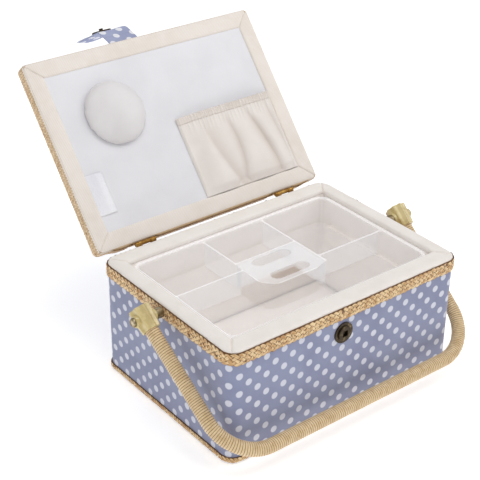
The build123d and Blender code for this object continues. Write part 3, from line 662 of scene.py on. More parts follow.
def plaitPatches(outline, place, settings, start=0.0, end=None, proud=flush):
    # each strand swings across the band in a rounded zigzag and passes over and under its neighbours in turn;
    # an oval section is carried along it, square to its run within the band
    whole = end is None
    end = outline.length if whole else end
    strands, half = settings["strands"], settings["width"] / 2 - settings["strand"] / 2 * plait["tuck"]
    repeats = max(1, round((end - start) / settings["pitch"]))
    pitch = (end - start) / repeats
    s = np.linspace(start, end, int((end - start) / settings["spacing"]), endpoint=not whole)
    ring = circle(settings["sides"])
    patches = []
    draw = np.random.default_rng(settings["seed"])
    for k in range(strands):
        turn = 2 * math.pi * ((s - start) / pitch + k / strands)
        spot = np.stack([s, s * 0 + k * 0.1, s * 0], axis=-1)
        wander = ripple(spot, plait["wanderScale"], settings["seed"] + k) * settings["wander"]
        if whole:
            wander = wander * ease(0, plait["seam"], s) * ease(0, plait["seam"], end - s)
        across = half * (2 / math.pi) * np.arcsin(plait["swing"] * np.sin(turn)) + wander
        step = np.mod((turn / math.pi + 0.5), 1.0) * strands
        window = np.minimum(1.0, np.minimum(step, strands - step) / plait["cross"])
        depth = settings["lift"] * (-np.cos(math.pi * step)) * window
        slopeS, slopeA = np.gradient(s), np.gradient(across)
        size = np.hypot(slopeS, slopeA)
        sideS, sideA = -slopeA / size, slopeS / size
        swell = 1 + plait["swell"] * np.sin(s / plait["swellScale"] + k * plait["swellStep"])
        wide = settings["strand"] / 2 * swell[:, None] * np.cos(ring)[None, :]
        deep = settings["strandDepth"] / 2 * np.sin(ring)[None, :]
        along = s[:, None] + sideS[:, None] * wide
        level = settings["level"] + across[:, None] + sideA[:, None] * wide
        out = settings["out"] + depth[:, None] + deep + proud(along)
        x, y = outline.at(along, out)
        u, v = spread(wrapOn(s, outline.length) if whole else s, wrapOn(ring / (2 * math.pi), 1.0))
        patches.append((place(x, y, level), whole, True, u + draw.uniform(0, 50), v, not whole))
    return patches


def bandPatch(outline, place, levels, outs, start=0.0, end=None, proud=flush):
    # a thin rectangle carried along the outline
    whole = end is None
    s = outline.steps(4 * mm, start, outline.length if whole else end)
    level = np.array([levels[0], levels[1], levels[1], levels[0]])
    out = np.array([outs[1], outs[1], outs[0], outs[0]])[None, :] + proud(s)[:, None] * [1, 1, 0, 0]
    x, y = outline.at(s[:, None], out)
    u, v = spread(wrapOn(s, outline.length) if whole else s, wrapOn(level, 0))
    return place(x, y, level[None, :]), whole, True, u, v, not whole


upperLow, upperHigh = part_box("upper_braid")
lowerLow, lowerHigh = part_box("lower_braid")
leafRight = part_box("right_box_leaf")
upper = {"strands": 5, "width": upperHigh.z - upperLow.z, "level": (upperHigh.z + upperLow.z) / 2,
         "pitch": 24 * mm, "strand": 3.3 * mm, "strandDepth": 0.9 * mm, "lift": 0.45 * mm, "out": 0.85 * mm,
         "spacing": 0.9 * mm, "sides": 10, "wander": 0.4 * mm, "seed": 21, "margin": 0.8 * mm}
lower = {"strands": 3, "width": lowerHigh.z - lowerLow.z, "level": (lowerHigh.z + lowerLow.z) / 2,
         "pitch": 9 * mm, "strand": 2.2 * mm, "strandDepth": 0.8 * mm, "lift": 0.4 * mm, "out": 0.8 * mm,
         "spacing": 0.8 * mm, "sides": 8, "wander": 0.1 * mm, "seed": 41, "margin": 0.5 * mm}
leafRoom = 0.3 * mm
backingOuts = (0.0, 0.35 * mm)  # how far off the fabric the backing's two faces lie


def makeBoxBraids():
    # the hinge leaves leave a gap in the upper braid, here by its distance from the middle
    inner, outer = leafRight[0].x - leafRoom, leafRight[1].x + leafRoom
    length = boxOutline.length
    levels = (upperLow.z + upper["margin"], upperHigh.z - upper["margin"])
    runs = [("upper_braid_long", outer, length - outer), ("upper_braid_back", -inner, inner)]
    for name, start, end in runs:
        piece = pieceFrom(name, plaitPatches(boxOutline, onBox, upper, start, end), strawBraid)
        settle(piece, "box", "straw_braid", "upper_braid")
        spans = [(length + start, length), (0.0, end)] if start < 0 else [(start, end)]
        # behind the strands lies a band in a backing finish, painted shade seen through the gaps
        patches = [bandPatch(boxOutline, onBox, levels, backingOuts, *span) for span in spans]
        settle(pieceFrom(name + "_backing", patches, backing), "box", "straw_braid")
    piece = pieceFrom("lower_braid_strands", plaitPatches(boxOutline, onBox, lower), strawBraid)
    settle(piece, "box", "straw_braid", "lower_braid")
    # the same band of painted shade lies behind the lower braid
    levels = (lowerLow.z + lower["margin"], lowerHigh.z - lower["margin"])
    patch = bandPatch(boxOutline, onBox, levels, backingOuts)
    settle(pieceFrom("lower_braid_backing", [patch], backing), "box", "straw_braid")


makeBoxBraids()
print("box braids made")

lidBraidLow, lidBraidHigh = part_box("lid_edge_braid")
lidWidth = lidBraidHigh.x - lidBraidLow.x
lidFlat = {"setback": 2 * mm, "depth": 173 * mm, "corner": 5 * mm, "border": 16 * mm, "inner": 1.4 * mm,
           "boardInner": 4.9 * mm, "paddingTop": 15.4 * mm, "top": 16.2 * mm,
           "satin": 3.4 * mm, "braid": 1.6 * mm}
lidMiddle = -(lidFlat["setback"] + lidFlat["depth"] / 2)


def insetOutline(inset):
    # the lid's outline, drawn in by some distance
    return Outline(lidWidth - 2 * inset, lidFlat["depth"] - 2 * inset, lidFlat["corner"] - inset, lidMiddle)


lidOutline = insetOutline(0.0)
lidPlait = {"strands": 5, "width": 13.4 * mm, "level": 8.8 * mm, "pitch": 12 * mm, "strand": 2.3 * mm,
            "strandDepth": 0.8 * mm, "lift": 0.36 * mm, "out": -0.75 * mm, "spacing": 0.8 * mm, "sides": 8,
            "wander": 0.2 * mm, "seed": 61, "proud": 1.6 * mm, "margin": 0.3 * mm, "backing": -1.15 * mm,
            "leafNear": 1 * mm, "leafFar": 5 * mm, "cornerNear": 10 * mm, "cornerFar": 22 * mm}


def lidProud(s):
    # along the hinged edge the braid stands proud of the lid, except where the hinge leaves lie
    x = np.abs(np.mod(s + lidOutline.length / 2, lidOutline.length) - lidOutline.length / 2)
    near, far, inner, outer = lidPlait["leafNear"], lidPlait["leafFar"], leafRight[0].x, leafRight[1].x
    leaf = ease(inner - far, inner - near, x) * ease(outer + far, outer + near, x)
    straight = ease(lidWidth / 2 - lidPlait["cornerNear"], lidWidth / 2 - lidPlait["cornerFar"], x)
    return lidPlait["proud"] * straight * (1 - leaf)


def makeLidBraid():
    strands = plaitPatches(lidOutline, onLid, lidPlait, proud=lidProud)
    piece = pieceFrom("lid_braid_strands", strands, lidStraw)
    settle(piece, "lid", "straw_braid", "lid_edge_braid")
    # a band of painted shade lies behind the lid braid's strands
    half = lidPlait["width"] / 2 - lidPlait["margin"]
    levels = (lidPlait["level"] - half, lidPlait["level"] + half)
    patch = bandPatch(lidOutline, onLid, levels, (-lidFlat["braid"], lidPlait["backing"]), proud=lidProud)
    settle(pieceFrom("lid_braid_backing", [patch], lidBacking), "lid", "straw_braid")


makeLidBraid()
print("lid braid made")


# ---- padded strips with mitred corners, for the box's rim and the lid's border

def mitredStrips(outline, innerX, innerY, level, thickness, place, names, settings):
    # between two mitre lines, a rounded section is carried from the outline to the inner rectangle:
    # its height is a power of a sine across the strip, and it dips at both mitred ends
    k = outline.knots
    corners = [(k[1] + k[2]) / 2, (k[3] + k[4]) / 2, (k[5] + k[6]) / 2, (k[7] + k[8]) / 2]
    inner = [(-innerX, innerY), (-innerX, -innerY), (innerX, -innerY), (innerX, innerY)]
    turn = np.linspace(0, math.pi, settings["across"])
    power = np.where(turn < math.pi / 2, settings["outerEdge"], settings["innerEdge"])
    share = 0.5 - 0.5 * squared(np.cos(turn), power)
    rise = np.sin(turn).clip(0, 1) ** settings["crown"] * (1 - settings["fall"] * (1 - share))
    pieces = []
    for i, name in enumerate(names):
        start, end = corners[i], corners[(i + 1) % 4] + (outline.length if i == 3 else 0)
        length = end - start
        near, step = np.array([0, 0.4, 0.8, 1.3, 2.0]) * mm, 3 * mm  # rows crowd at the mitres
        t = np.concatenate([near, np.linspace(step, length - step, int(length / step)), length - near[::-1]])
        outX, outY = outline.at(start + t)
        (x0, y0), (x1, y1) = inner[i], inner[(i + 1) % 4]
        toX = x0 + (x1 - x0) * t / length
        toY = y0 + outline.middleY + (y1 - y0) * t / length
        x = outX[:, None] * (1 - share) + toX[:, None] * share
        y = outY[:, None] * (1 - share) + toY[:, None] * share
        ends = np.minimum(t, length - t)
        dip = 1 - settings["dip"] * np.exp(-(ends / settings["dipReach"]) ** 2)
        flat = onBox(x, y, 0.0)
        wave = 1 + settings["uneven"] * ripple(flat, 45 * mm, settings["seed"]) * np.sin(turn)
        height = level + thickness * (rise[None, :] * dip[:, None] * wave).clip(0, 1.25)
        u, v = (closed(y), closed(x)) if abs(y1 - y0) > abs(x1 - x0) else (closed(x), closed(y))
        pieces.append(pieceFrom(name, [(place(x, y, height), False, True, u, v, True)], settings["finish"]))
    return pieces


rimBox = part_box("rim_front")
openingX, openingY = 106.2 * mm, -rimBox[1].y
rim = {"across": 22, "outerEdge": 0.62, "innerEdge": 0.4, "crown": 0.5, "fall": 0.12, "dip": 0.32,
       "dipReach": 0.9 * mm, "uneven": 0.03, "seed": 71, "finish": creamRim}
border = {"inset": 0.4 * mm, "across": 18, "outerEdge": 0.5, "innerEdge": 0.42, "crown": 0.45, "fall": 0.1,
          "dip": 0.3, "dipReach": 0.9 * mm, "uneven": 0.03, "seed": 81, "finish": borderTwill}
sides = ("left", "front", "right", "back")


def makeRim():
    level, thickness = rimBox[0].z, rimBox[1].z - rimBox[0].z
    names = ["rim_pad_" + side for side in sides]
    strips = mitredStrips(boxOutline, openingX, openingY, level, thickness, onBox, names, rim)
    for piece, side in zip(strips, sides):
        settle(piece, "box", "cream_rim", "rim_" + side)


def makeBorder():
    outline = insetOutline(border["inset"])
    names = ["border_" + side for side in sides]
    innerX, innerY = lidWidth / 2 - lidFlat["border"], lidFlat["depth"] / 2 - lidFlat["border"]
    thickness = lidFlat["inner"] - lidFlat["boardInner"]
    strips = mitredStrips(outline, innerX, innerY, lidFlat["boardInner"], thickness, onLid, names, border)
    for piece in strips:
        settle(piece, "lid", "cream_rim")
    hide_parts("lid_border")


makeRim()
makeBorder()
print("rim and border made")


# ---- lining and floor pad

liningBox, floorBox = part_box("lining"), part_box("floor_pad")
lining = {"bulge": 0.45 * mm, "rows": 16, "steps": [24, 6, 32, 6, 48, 6, 32, 6, 24], "corner": 4 * mm,
          "outerCorner": 0.6 * mm, "floorCrown": 1.2 * mm, "floorRings": 14, "floorGap": 0.4 * mm}


def makeLining():
    # a wall between two outlines walked side by side, whose inner face swells at mid height
    outer = Outline(liningBox[1].x * 2, liningBox[1].y * 2, lining["outerCorner"])
    inner = Outline(openingX * 2, openingY * 2, lining["corner"])
    share = np.concatenate([i + np.linspace(0, 1, n, endpoint=False) for i, n in enumerate(lining["steps"])])
    z = np.linspace(liningBox[0].z, liningBox[1].z, lining["rows"])
    swell = -lining["bulge"] * np.sin(math.pi * (z - z[0]) / (z[-1] - z[0])) ** 0.6
    inX, inY = inner.atShare(share[:, None], swell[None, :])
    outX, outY = outer.atShare(share[:, None], np.zeros(2)[None, :])
    x = np.concatenate([inX, outX], axis=1)
    y = np.concatenate([inY, outY], axis=1)
    level = np.concatenate([z, z[[-1, 0]]])
    u, v = spread(wrapOn(share, 9.0) * 90 * mm, wrapOn(level, 0))
    piece = pieceFrom("lining_pad", [(onBox(x, y, level[None, :]), True, True, u, v, False)], liningCloth)
    settle(piece, "box", "cream_lining", "lining")


def cushionRings(outline, shares, heights, place, crown=None):
    # rings of the outline, each shrunk to a share of its size about its middle and set at its own height
    s = outline.steps(4 * mm)
    x, y = outline.at(s)
    ringX = shares[:, None] * x[None, :]
    ringY = outline.middleY + shares[:, None] * (y - outline.middleY)[None, :]
    height = heights[:, None] + (0 if crown is None else crown(ringX, ringY))
    return place(ringX, ringY, height), False, True, closed(ringX), closed(ringY), False


def makeFloorPad():
    # a low cushion: rings from the middle of the top, over a round edge, to the middle of the underside
    gap = lining["floorGap"]
    outline = Outline(openingX * 2 - gap, openingY * 2 - gap, lining["corner"])
    share = np.linspace(0, 1, lining["floorRings"])
    low, high = floorBox[0].z, floorBox[1].z
    top = high + lining["floorCrown"] * (1 - share ** 4) - (high - low) * 0.35 * ease(0.94, 1.0, share)
    shares = np.concatenate([share, share[::-1]])
    heights = np.concatenate([top, np.full(len(share), low)])
    patch = cushionRings(outline, shares, heights, onBox)
    piece = pieceFrom("floor_cushion", [patch], liningCloth)
    settle(piece, "box", "cream_lining", "floor_pad")


makeLining()
makeFloorPad()
print("lining made")


# ---- lid: padded cover, satin panel, pincushion, pocket and label

cover = {"crown": 2.6 * mm, "round": 2.2 * mm, "uneven": 0.25 * mm}


def makeCover():
    # fabric over the padded lid: rings from the middle of the crowned top, over the edge and down the side,
    # then back up inside the cloth to the middle of its underside
    outline = insetOutline(lidFlat["braid"])
    thin = skin["thickness"] / (lidWidth / 2)
    top, low, inside = lidFlat["top"], lidFlat["boardInner"], lidFlat["paddingTop"]
    share = np.concatenate([np.linspace(0, 0.9, 16), np.linspace(0.93, 0.985, 5)])
    edge = np.linspace(0, math.pi / 2, 5)
    reach = cover["round"] / (lidWidth / 2)
    edgeShare, edgeDrop = 1 - reach + reach * np.sin(edge), cover["round"] * (1 - np.cos(edge))
    shares = np.concatenate([share, edgeShare, [1.0, 1 - thin, 1 - thin, 0.5, 0.0]])
    heights = np.concatenate([np.full(len(share), top), top - edgeDrop, [low, low, inside, inside, inside]])
    rising = np.concatenate([np.ones(len(share)), np.linspace(1, 0, 5), np.zeros(5)])[:, None]

    def crown(x, y):
        acrossX = 1 - (np.abs(x) / (lidWidth / 2)) ** 3
        acrossY = 1 - (np.abs(y - lidMiddle) / (lidFlat["depth"] / 2)) ** 3
        uneven = cover["uneven"] * ripple(onBox(x, y, 0.0), 50 * mm, 91)
        return rising * (cover["crown"] * (acrossX * acrossY).clip(0, 1) + uneven)

    piece = pieceFrom("lid_cover", [cushionRings(outline, shares, heights, onLid, crown)], fabric)
    settle(piece, "lid", "dotted_fabric", "lid_fabric")


panel = {"columns": 90, "rows": 64, "wrinkle": 0.12 * mm, "thickness": 0.5 * mm, "tuck": 2 * mm}
panelX, panelY = lidWidth / 2 - lidFlat["border"], lidFlat["depth"] / 2 - lidFlat["border"]


def makeSatinPanel():
    # a stretched sheet with faint long wrinkles, let in under the border
    tuck = panel["tuck"]
    x = np.linspace(-panelX - tuck, panelX + tuck, panel["columns"])[:, None]
    y = np.linspace(lidMiddle - panelY - tuck, lidMiddle + panelY + tuck, panel["rows"])[None, :]
    flat = onBox(x, y, 0.0)
    wave = ripple(flat * [1.0, 0.35, 1.0], 38 * mm, 101) + 0.5 * ripple(flat * [0.3, 1.0, 1.0], 30 * mm, 102)
    height = lidFlat["satin"] + panel["wrinkle"] * wave
    piece = clothFrom("satin_sheet", onLid(x, y, height), x, y, panel["thickness"], whiteSatin)
    settle(piece, "lid", "white_satin", "satin_panel")


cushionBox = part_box("pincushion")
pincushion = {"reach": -114 * mm, "radius": 31 * mm, "height": 11.2 * mm, "start": 0.94, "voxel": 3 * mm,
              "pressure": 4.0, "cap": 2.2 * mm, "tuck": 1.3 * mm, "frames": 20, "rings": 22, "sides": 64,
              "full": 0.85, "foot": 1.0 * mm, "quality": 5}


def puffUp(piece, settings, held):
    # a voxel copy of the piece swells under pressure with its foot held, and its travel is capped
    remesh = piece.modifiers.new("voxels", "REMESH")
    remesh.mode, remesh.voxel_size = "VOXEL", settings["voxel"]
    view = bpy.context.evaluated_depsgraph_get()
    mesh = bpy.data.meshes.new_from_object(piece.evaluated_get(view))
    piece.modifiers.clear()
    piece.data = mesh
    points = np.zeros(len(mesh.vertices) * 3)
    mesh.vertices.foreach_get("co", points)
    points = points.reshape(-1, 3)
    group = piece.vertex_groups.new(name="foot")
    group.add(np.flatnonzero(held(points)).tolist(), 1.0, "REPLACE")
    cloth = piece.modifiers.new("cloth", "CLOTH")
    cloth.settings.use_pressure, cloth.settings.uniform_pressure_force = True, settings["pressure"]
    cloth.settings.vertex_group_mass = "foot"
    cloth.settings.effector_weights.gravity = 0.0
    cloth.settings.quality = settings["quality"]
    cloth.point_cache.frame_start, cloth.point_cache.frame_end = 1, settings["frames"]
    for number in range(1, settings["frames"] + 1):
        bpy.context.scene.frame_set(number)
    view = bpy.context.evaluated_depsgraph_get()
    swollen = bpy.data.meshes.new_from_object(piece.evaluated_get(view))
    moved = np.zeros(len(swollen.vertices) * 3)
    swollen.vertices.foreach_get("co", moved)
    travel = moved.reshape(-1, 3) - points
    size = np.linalg.norm(travel, axis=1, keepdims=True).clip(1e-9)
    final = points + travel * np.minimum(1.0, settings["cap"] / size)
    swollen.vertices.foreach_set("co", final.ravel())
    swollen.update()
    piece.modifiers.clear()
    piece.data = swollen
    bpy.context.scene.frame_set(1)


def makePincushion():
    # a low dome, whose radius is a power of the sine and whose rise is the cosine of a quarter turn,
    # with a rounded foot that tucks in where it meets the panel
    middleX, middleY = (cushionBox[0].x + cushionBox[1].x) / 2, pincushion["reach"]
    foot, size = lidFlat["satin"], pincushion["start"]
    turn = np.linspace(0, math.pi / 2, pincushion["rings"])
    radius = pincushion["radius"] * size * np.sin(turn) ** pincushion["full"]
    rise = pincushion["height"] * size * np.cos(turn)
    tuck = pincushion["tuck"]
    rise = rise * (1 - 2 * tuck / pincushion["height"]) + 2 * tuck
    bend = np.linspace(math.pi / 8, math.pi / 2, 4)
    radius = np.concatenate([radius, radius[-1] - tuck * (1 - np.cos(bend)), [0.0]])
    rise = np.concatenate([rise, 2 * tuck * (1 - np.sin(bend)), [0.0]])
    around = circle(pincushion["sides"])
    x = middleX + radius[:, None] * np.cos(around)
    y = middleY + radius[:, None] * np.sin(around)
    patch = (onLid(x, y, foot - rise[:, None]), False, True, closed(x), closed(y), False)
    piece = pieceFrom("pincushion_pad", [patch], cushionSatin)
    def held(p):
        return lidHeight(p.T) > foot - pincushion["foot"]

    puffUp(piece, pincushion, held)
    finer = piece.modifiers.new("finer", "SUBSURF")
    finer.levels = finer.render_levels = 1
    piece.data.polygons.foreach_set("use_smooth", np.full(len(piece.data.polygons), True))
    settle(piece, "lid", "cushion_satin", "pincushion")


pocket = {"columns": 380, "rows": 66, "mouth": -92 * mm, "foot": -18 * mm, "left": 0.0, "right": 104 * mm,
          "mouthLift": 5.8 * mm, "footLift": 3.4 * mm, "edgeLift": 0.7 * mm, "header": 0.075, "gathers": 46,
          "gatherLift": 0.45 * mm, "thickness": 0.5 * mm, "over": 0.012, "headerLift": 0.35 * mm,
          "swell": 0.45 * mm, "fray": 0.5 * mm, "fullness": 1.12}  # over: the header's share above the mouth
# where each fold lies across the pocket at the mouth, the middle and the foot, its widths and its depths
folds = [
    {"across": (0.19, 0.27, 0.41), "left": 0.05, "right": 0.085, "depth": (0.5, 2.0, 2.4)},
    {"across": (0.41, 0.5, 0.425), "left": 0.075, "right": 0.03, "depth": (1.4, 2.6, 2.2)},
    {"across": (0.63, 0.775, 0.82), "left": 0.08, "right": 0.028, "depth": (1.6, 3.4, 2.2)},
    {"across": (0.88, 0.93, 0.955), "left": 0.05, "right": 0.02, "depth": (1.4, 1.2, 0.6)},
]


def foldLine(fold, down):
    # where a fold lies at each height, a parabola through its three places, and how deep it is there
    first, middle, last = fold["across"]
    line = first + (4 * middle - 3 * first - last) * down + 2 * (first + last - 2 * middle) * down ** 2
    depth = np.interp(down, (0.05, 0.55, 0.95), fold["depth"]) * mm * (0.35 + 0.65 * ease(0.02, 0.3, down))
    return line, depth


def pocketLift(across, down):
    # how far the pocket stands off the panel: a taper from mouth to foot, held down at its edges,
    # with folds that wander from mouth to foot, gentle on one side and steep on the other,
    # and fine gathers under the elastic
    edges = ease(0, 0.02, across) * ease(0, 0.045, 1 - across) * (0.3 + 0.7 * ease(0.02, 0.22, across))
    body = pocket["footLift"] + (pocket["mouthLift"] - pocket["footLift"]) * (1 - down) ** 0.7
    body = body * (1 - 0.6 * ease(0.9, 1.0, down))
    for fold in folds:
        line, depth = foldLine(fold, down)
        offset = across - line
        width = np.where(offset < 0, fold["left"], fold["right"])
        valley = np.exp(-np.abs(offset / width) ** 1.35)
        body = body - depth * valley
    wave = across * pocket["gathers"] + 0.35 * np.sin(across * 23.0) + 0.2 * np.sin(across * 61.0)
    gather = np.sin(2 * math.pi * wave) * np.exp(-(down - 0.02).clip(0) / 0.07)
    broad = 0.6 * np.sin(2 * math.pi * wave / 2 + 1.0) * np.exp(-((down - 0.12) / 0.09) ** 2)
    return pocket["edgeLift"] + edges * (body + pocket["gatherLift"] * (gather + broad)).clip(0.2 * mm)


def paintedFoldShade(across, down):
    # 1 in the bottom of a fold and 0 away from it, for the painted shade laid into the satin's colour there
    shade = np.zeros(across.shape)
    for fold in folds:
        line, depth = foldLine(fold, down)
        offset = across - line
        width = np.where(offset < 0, fold["left"] * 0.55, fold["right"] * 0.9)
        valley = np.exp(-np.abs(offset / width) ** 1.5)
        shade = np.maximum(shade, valley * (depth / (3.4 * mm)).clip(0, 1))
    return shade


def makePocket():
    across = np.linspace(0, 1, pocket["columns"])[:, None]
    down = np.linspace(0, 1, pocket["rows"])[None, :]
    x = pocket["left"] + (pocket["right"] - pocket["left"]) * across
    y = pocket["mouth"] + (pocket["foot"] - pocket["mouth"]) * down
    lift = pocketLift(across + 0 * down, down + 0 * across)
    points = onLid(x, y, lidFlat["satin"] - lift)
    piece = clothFrom("pocket_sheet", points, x, y, pocket["thickness"], pocketSatin)
    # painted shade of the folds, kept on the points as the fold attribute
    shade = paintedFoldShade(across + 0 * down, down + 0 * across)
    layer = piece.data.attributes.new("fold", "FLOAT", "POINT")
    layer.data.foreach_set("value", shade.ravel().astype(np.float32))
    settle(piece, "lid", "pocket_satin", "pocket")
    over, header = pocket["over"], pocket["header"]
    down = np.linspace(-over, header, 12)[None, :]
    y = pocket["mouth"] + (pocket["foot"] - pocket["mouth"]) * down
    lift = pocketLift(across + 0 * down, down.clip(0) + 0 * across)
    swell = pocket["swell"] * np.sin(math.pi * (down + over) / (header + over)) ** 0.5
    fray = pocket["fray"] * ripple(onBox(x, y, 0.0) * [3.0, 0.1, 1.0], 9 * mm, 111) * ease(0.02, -over, down)
    points = onLid(x, y + fray, lidFlat["satin"] - lift - pocket["headerLift"] - swell)
    band = clothFrom("pocket_header", points, x, y, pocket["thickness"], elastic)
    settle(band, "lid", "elastic", "pocket_elastic")


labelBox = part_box("blank_label")
label = {"columns": 22, "rows": 30, "under": 1.5 * mm, "far": -69 * mm, "near": -32 * mm, "lift": 0.3 * mm,
         "curl": 0.9 * mm, "thickness": 0.35 * mm}


def makeLabel():
    # a strip of tape caught under the border on one side, which lifts a little towards its free edge
    x = np.linspace(labelBox[0].x - label["under"], labelBox[1].x, label["columns"])[:, None]
    y = np.linspace(label["far"], label["near"], label["rows"])[None, :]
    share = (x - x[0]) / (x[-1] - x[0])
    curl = 0.35 * share ** 0.5 + 0.65 * np.exp(-((share - 0.62) / 0.22) ** 2)
    lift = label["lift"] + label["curl"] * curl
    lift = lift * (1 + 0.1 * np.sin(y * 60)) + 0 * y
    points = onLid(x, y, lidFlat["satin"] - lift)
    piece = clothFrom("label_tape", points, x, y, label["thickness"], labelTape)
    settle(piece, "lid", "label_tape", "blank_label")


makeCover()
makeSatinPanel()
makePincushion()
makePocket()
makeLabel()
print("lid made")


# ---- closing strap in two lengths that bend at the lid's edge and at its own fold

rootPin, tipPin = (Vector(joint(name)["pos_m"]) for name in ("strap_root_fold", "strap_tip_fold"))
strap = {"half": 15 * mm, "thick": 2.2 * mm, "anchor": 20 * mm, "inset": 2 * mm, "end": 40 * mm,
         "endTurn": 48.0, "flat": 30 * mm, "droop": 6.0, "skew": -11 * mm, "wave": 1.1 * mm, "across": 26,
         "alongStep": 1.2 * mm, "fold": 6 * mm, "edgeRound": 0.5, "sideRound": 0.75, "pastRoot": 3 * mm,
         "lineStep": 0.5 * mm, "smooth": 10, "overlap": 10 * mm, "patternShift": 3 * mm,
         "bendFrom": 1 * mm, "bendTo": 8 * mm, "areaShare": 0.93}  # areaShare: what the round end leaves


def strapLine():
    # the strap's middle line in the plane across the pin: flat on the lid, over its edge, then back and down;
    # straight stretches joined by a smoothed bend
    height = lidFlat["top"] + strap["thick"] / 2
    rim = -(lidFlat["setback"] + lidFlat["depth"] - strap["inset"])
    start, edge = onLid(0, rim + strap["anchor"], height)[1:], onLid(0, rim, height)[1:]
    pin, fold = np.array(rootPin[1:]), np.array(tipPin[1:])
    root = (fold - pin) / np.linalg.norm(fold - pin)

    def turned(degrees):
        a = -math.radians(degrees)
        return np.array([root[0] * math.cos(a) - root[1] * math.sin(a),
                         root[0] * math.sin(a) + root[1] * math.cos(a)])

    bent = fold + turned(strap["endTurn"]) * strap["flat"]
    tip = bent + turned(strap["endTurn"] + strap["droop"]) * (strap["end"] - strap["flat"])
    knots = np.array([start, edge, pin + root * strap["pastRoot"], fold, bent, tip])
    gaps = np.append(0, np.cumsum(np.linalg.norm(np.diff(knots, axis=0), axis=1)))
    s = np.linspace(0, gaps[-1], int(gaps[-1] / strap["lineStep"]))
    line = np.stack([np.interp(s, gaps, knots[:, i]) for i in (0, 1)], axis=-1)
    reach = strap["smooth"]
    window = np.hanning(2 * reach + 1)
    window /= window.sum()
    longer = np.concatenate([np.repeat(line[:1], reach, 0), line, np.repeat(line[-1:], reach, 0)])
    smooth = np.stack([np.convolve(longer[:, i], window, "valid") for i in (0, 1)], axis=-1)
    smooth[:reach + 1], smooth[-reach - 1:] = line[:reach + 1], line[-reach - 1:]
    return s, smooth, gaps[1], gaps[3]


def strapPiece(name, s, line, first, last, roundEnd):
    # a flat oval section carried along the middle line, narrowing in a half circle at the free end
    keep, roundFrom = np.arange(first, last, strap["alongStep"]), last - strap["half"]
    if roundEnd:
        turn = np.linspace(0, 1.54, 22)  # not quite a quarter turn, so that the last row keeps some width
        keep = np.append(keep[keep < roundFrom], last - strap["half"] * (1 - np.sin(turn)))
    else:
        keep = np.append(keep, last)
    y, z = (np.interp(keep, s, line[:, i]) for i in (0, 1))
    slopeY, slopeZ = np.gradient(y, keep), np.gradient(z, keep)
    size = np.hypot(slopeY, slopeZ)
    normalY, normalZ = -slopeZ / size, slopeY / size
    half = np.full(len(keep), strap["half"])
    if roundEnd:
        over = ((keep - roundFrom) / strap["half"]).clip(0, 1)
        half = strap["half"] * np.sqrt(1 - over ** 2).clip(0.02)
    ring = circle(strap["across"] * 2)
    side = squared(np.cos(ring), strap["sideRound"])
    deep = squared(np.sin(ring), strap["edgeRound"]) * strap["thick"] / 2
    deep = deep[None, :] * (half[:, None] / strap["half"]) ** 0.15
    across = half[:, None] * side[None, :]
    free = ((keep - strap["anchor"]) / (s[-1] - strap["anchor"])).clip(0, 1)[:, None]
    x = rootPin.x + across + strap["skew"] * free ** 1.8
    lift = strap["wave"] * free * np.sin(across / strap["half"] * 2.6 + keep[:, None] / (9 * mm))
    out = deep + lift
    points = onBox(x, y[:, None] + normalY[:, None] * out, z[:, None] + normalZ[:, None] * out)
    u = closed(across) + strap["patternShift"]
    v = np.repeat(keep[:, None], u.shape[1], axis=1)
    return pieceFrom(name, [(points, False, True, u, v, True)], litStrapFabric)


def makeStrap():
    s, line, edgeAt, foldAt = strapLine()
    middle = foldAt - strap["overlap"]

    root = strapPiece("strap_root_cloth", s, line, 0.0, middle, False)
    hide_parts("strap_anchor", "strap_root")
    end = strapPiece("strap_end_cloth", s, line, middle, s[-1], True)
    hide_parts("strap_end")
    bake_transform(root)
    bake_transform(end)


makeStrap()
print("strap made")


# ---- handle: windings along a bent line, and a fluted cap with its boss on each end

pivot = Vector(joint("handle_swing")["pos_m"])
handle = {"droop": math.radians(36.7), "pivotHalf": 137.1 * mm, "barHalf": 130.5 * mm, "reach": 131 * mm,
          "bend": 39 * mm, "start": 7 * mm, "radius": 5.95 * mm, "groove": 0.62 * mm, "turnPitch": 1.95 * mm,
          "perTurn": 8, "sides": 26, "uneven": 0.12 * mm, "full": 0.6}
droopCos, droopSin = math.cos(handle["droop"]), math.sin(handle["droop"])
handleDown, handleFace = np.array([0, -droopCos, -droopSin]), np.array([0, -droopSin, droopCos])
armLean = math.atan2(handle["pivotHalf"] - handle["barHalf"], handle["reach"])


def onHandle(x, down, up):
    # a point by its place across, its distance down the arms and its height off the handle's plane
    x, down, up = np.broadcast_arrays(x, down, up)
    return (np.array(pivot)[None, :] * [0, 1, 1] + x[..., None] * [1, 0, 0] + down[..., None] * handleDown
            + up[..., None] * handleFace)


def handleLine(count):
    # the handle's middle line by distance, as the box's outline: a core that moves along the straights,
    # plus the bend's radius times a normal that turns in the bends
    bend, lean = handle["bend"], armLean
    tangent = bend * math.tan((math.pi / 2 - lean) / 2)
    corner = np.array([-handle["barHalf"], -handle["reach"]])
    along = np.array([math.sin(lean), -math.cos(lean)])
    start = np.array([-handle["pivotHalf"], 0]) + along * handle["start"]
    straight = np.linalg.norm(corner - start) - tangent
    centre = np.array([corner[0] + tangent, corner[1] + bend])
    first = centre - along * straight
    arc, bar = bend * (math.pi / 2 - lean), -2 * centre[0]
    knots = np.cumsum([0, straight, arc, bar, arc, straight])
    coreX = np.array([first[0], centre[0], centre[0], -centre[0], -centre[0], -first[0]])
    coreY = np.array([first[1], centre[1], centre[1], centre[1], centre[1], first[1]])
    turn = np.array([math.pi + lean, math.pi + lean, 1.5 * math.pi, 1.5 * math.pi, 2 * math.pi - lean,
                     2 * math.pi - lean])
    s = np.linspace(0, knots[-1], count)
    angle = np.interp(s, knots, turn)
    x = np.interp(s, knots, coreX) + bend * np.cos(angle)
    y = np.interp(s, knots, coreY) + bend * np.sin(angle)
    return s, x, -y, np.cos(angle), -np.sin(angle)


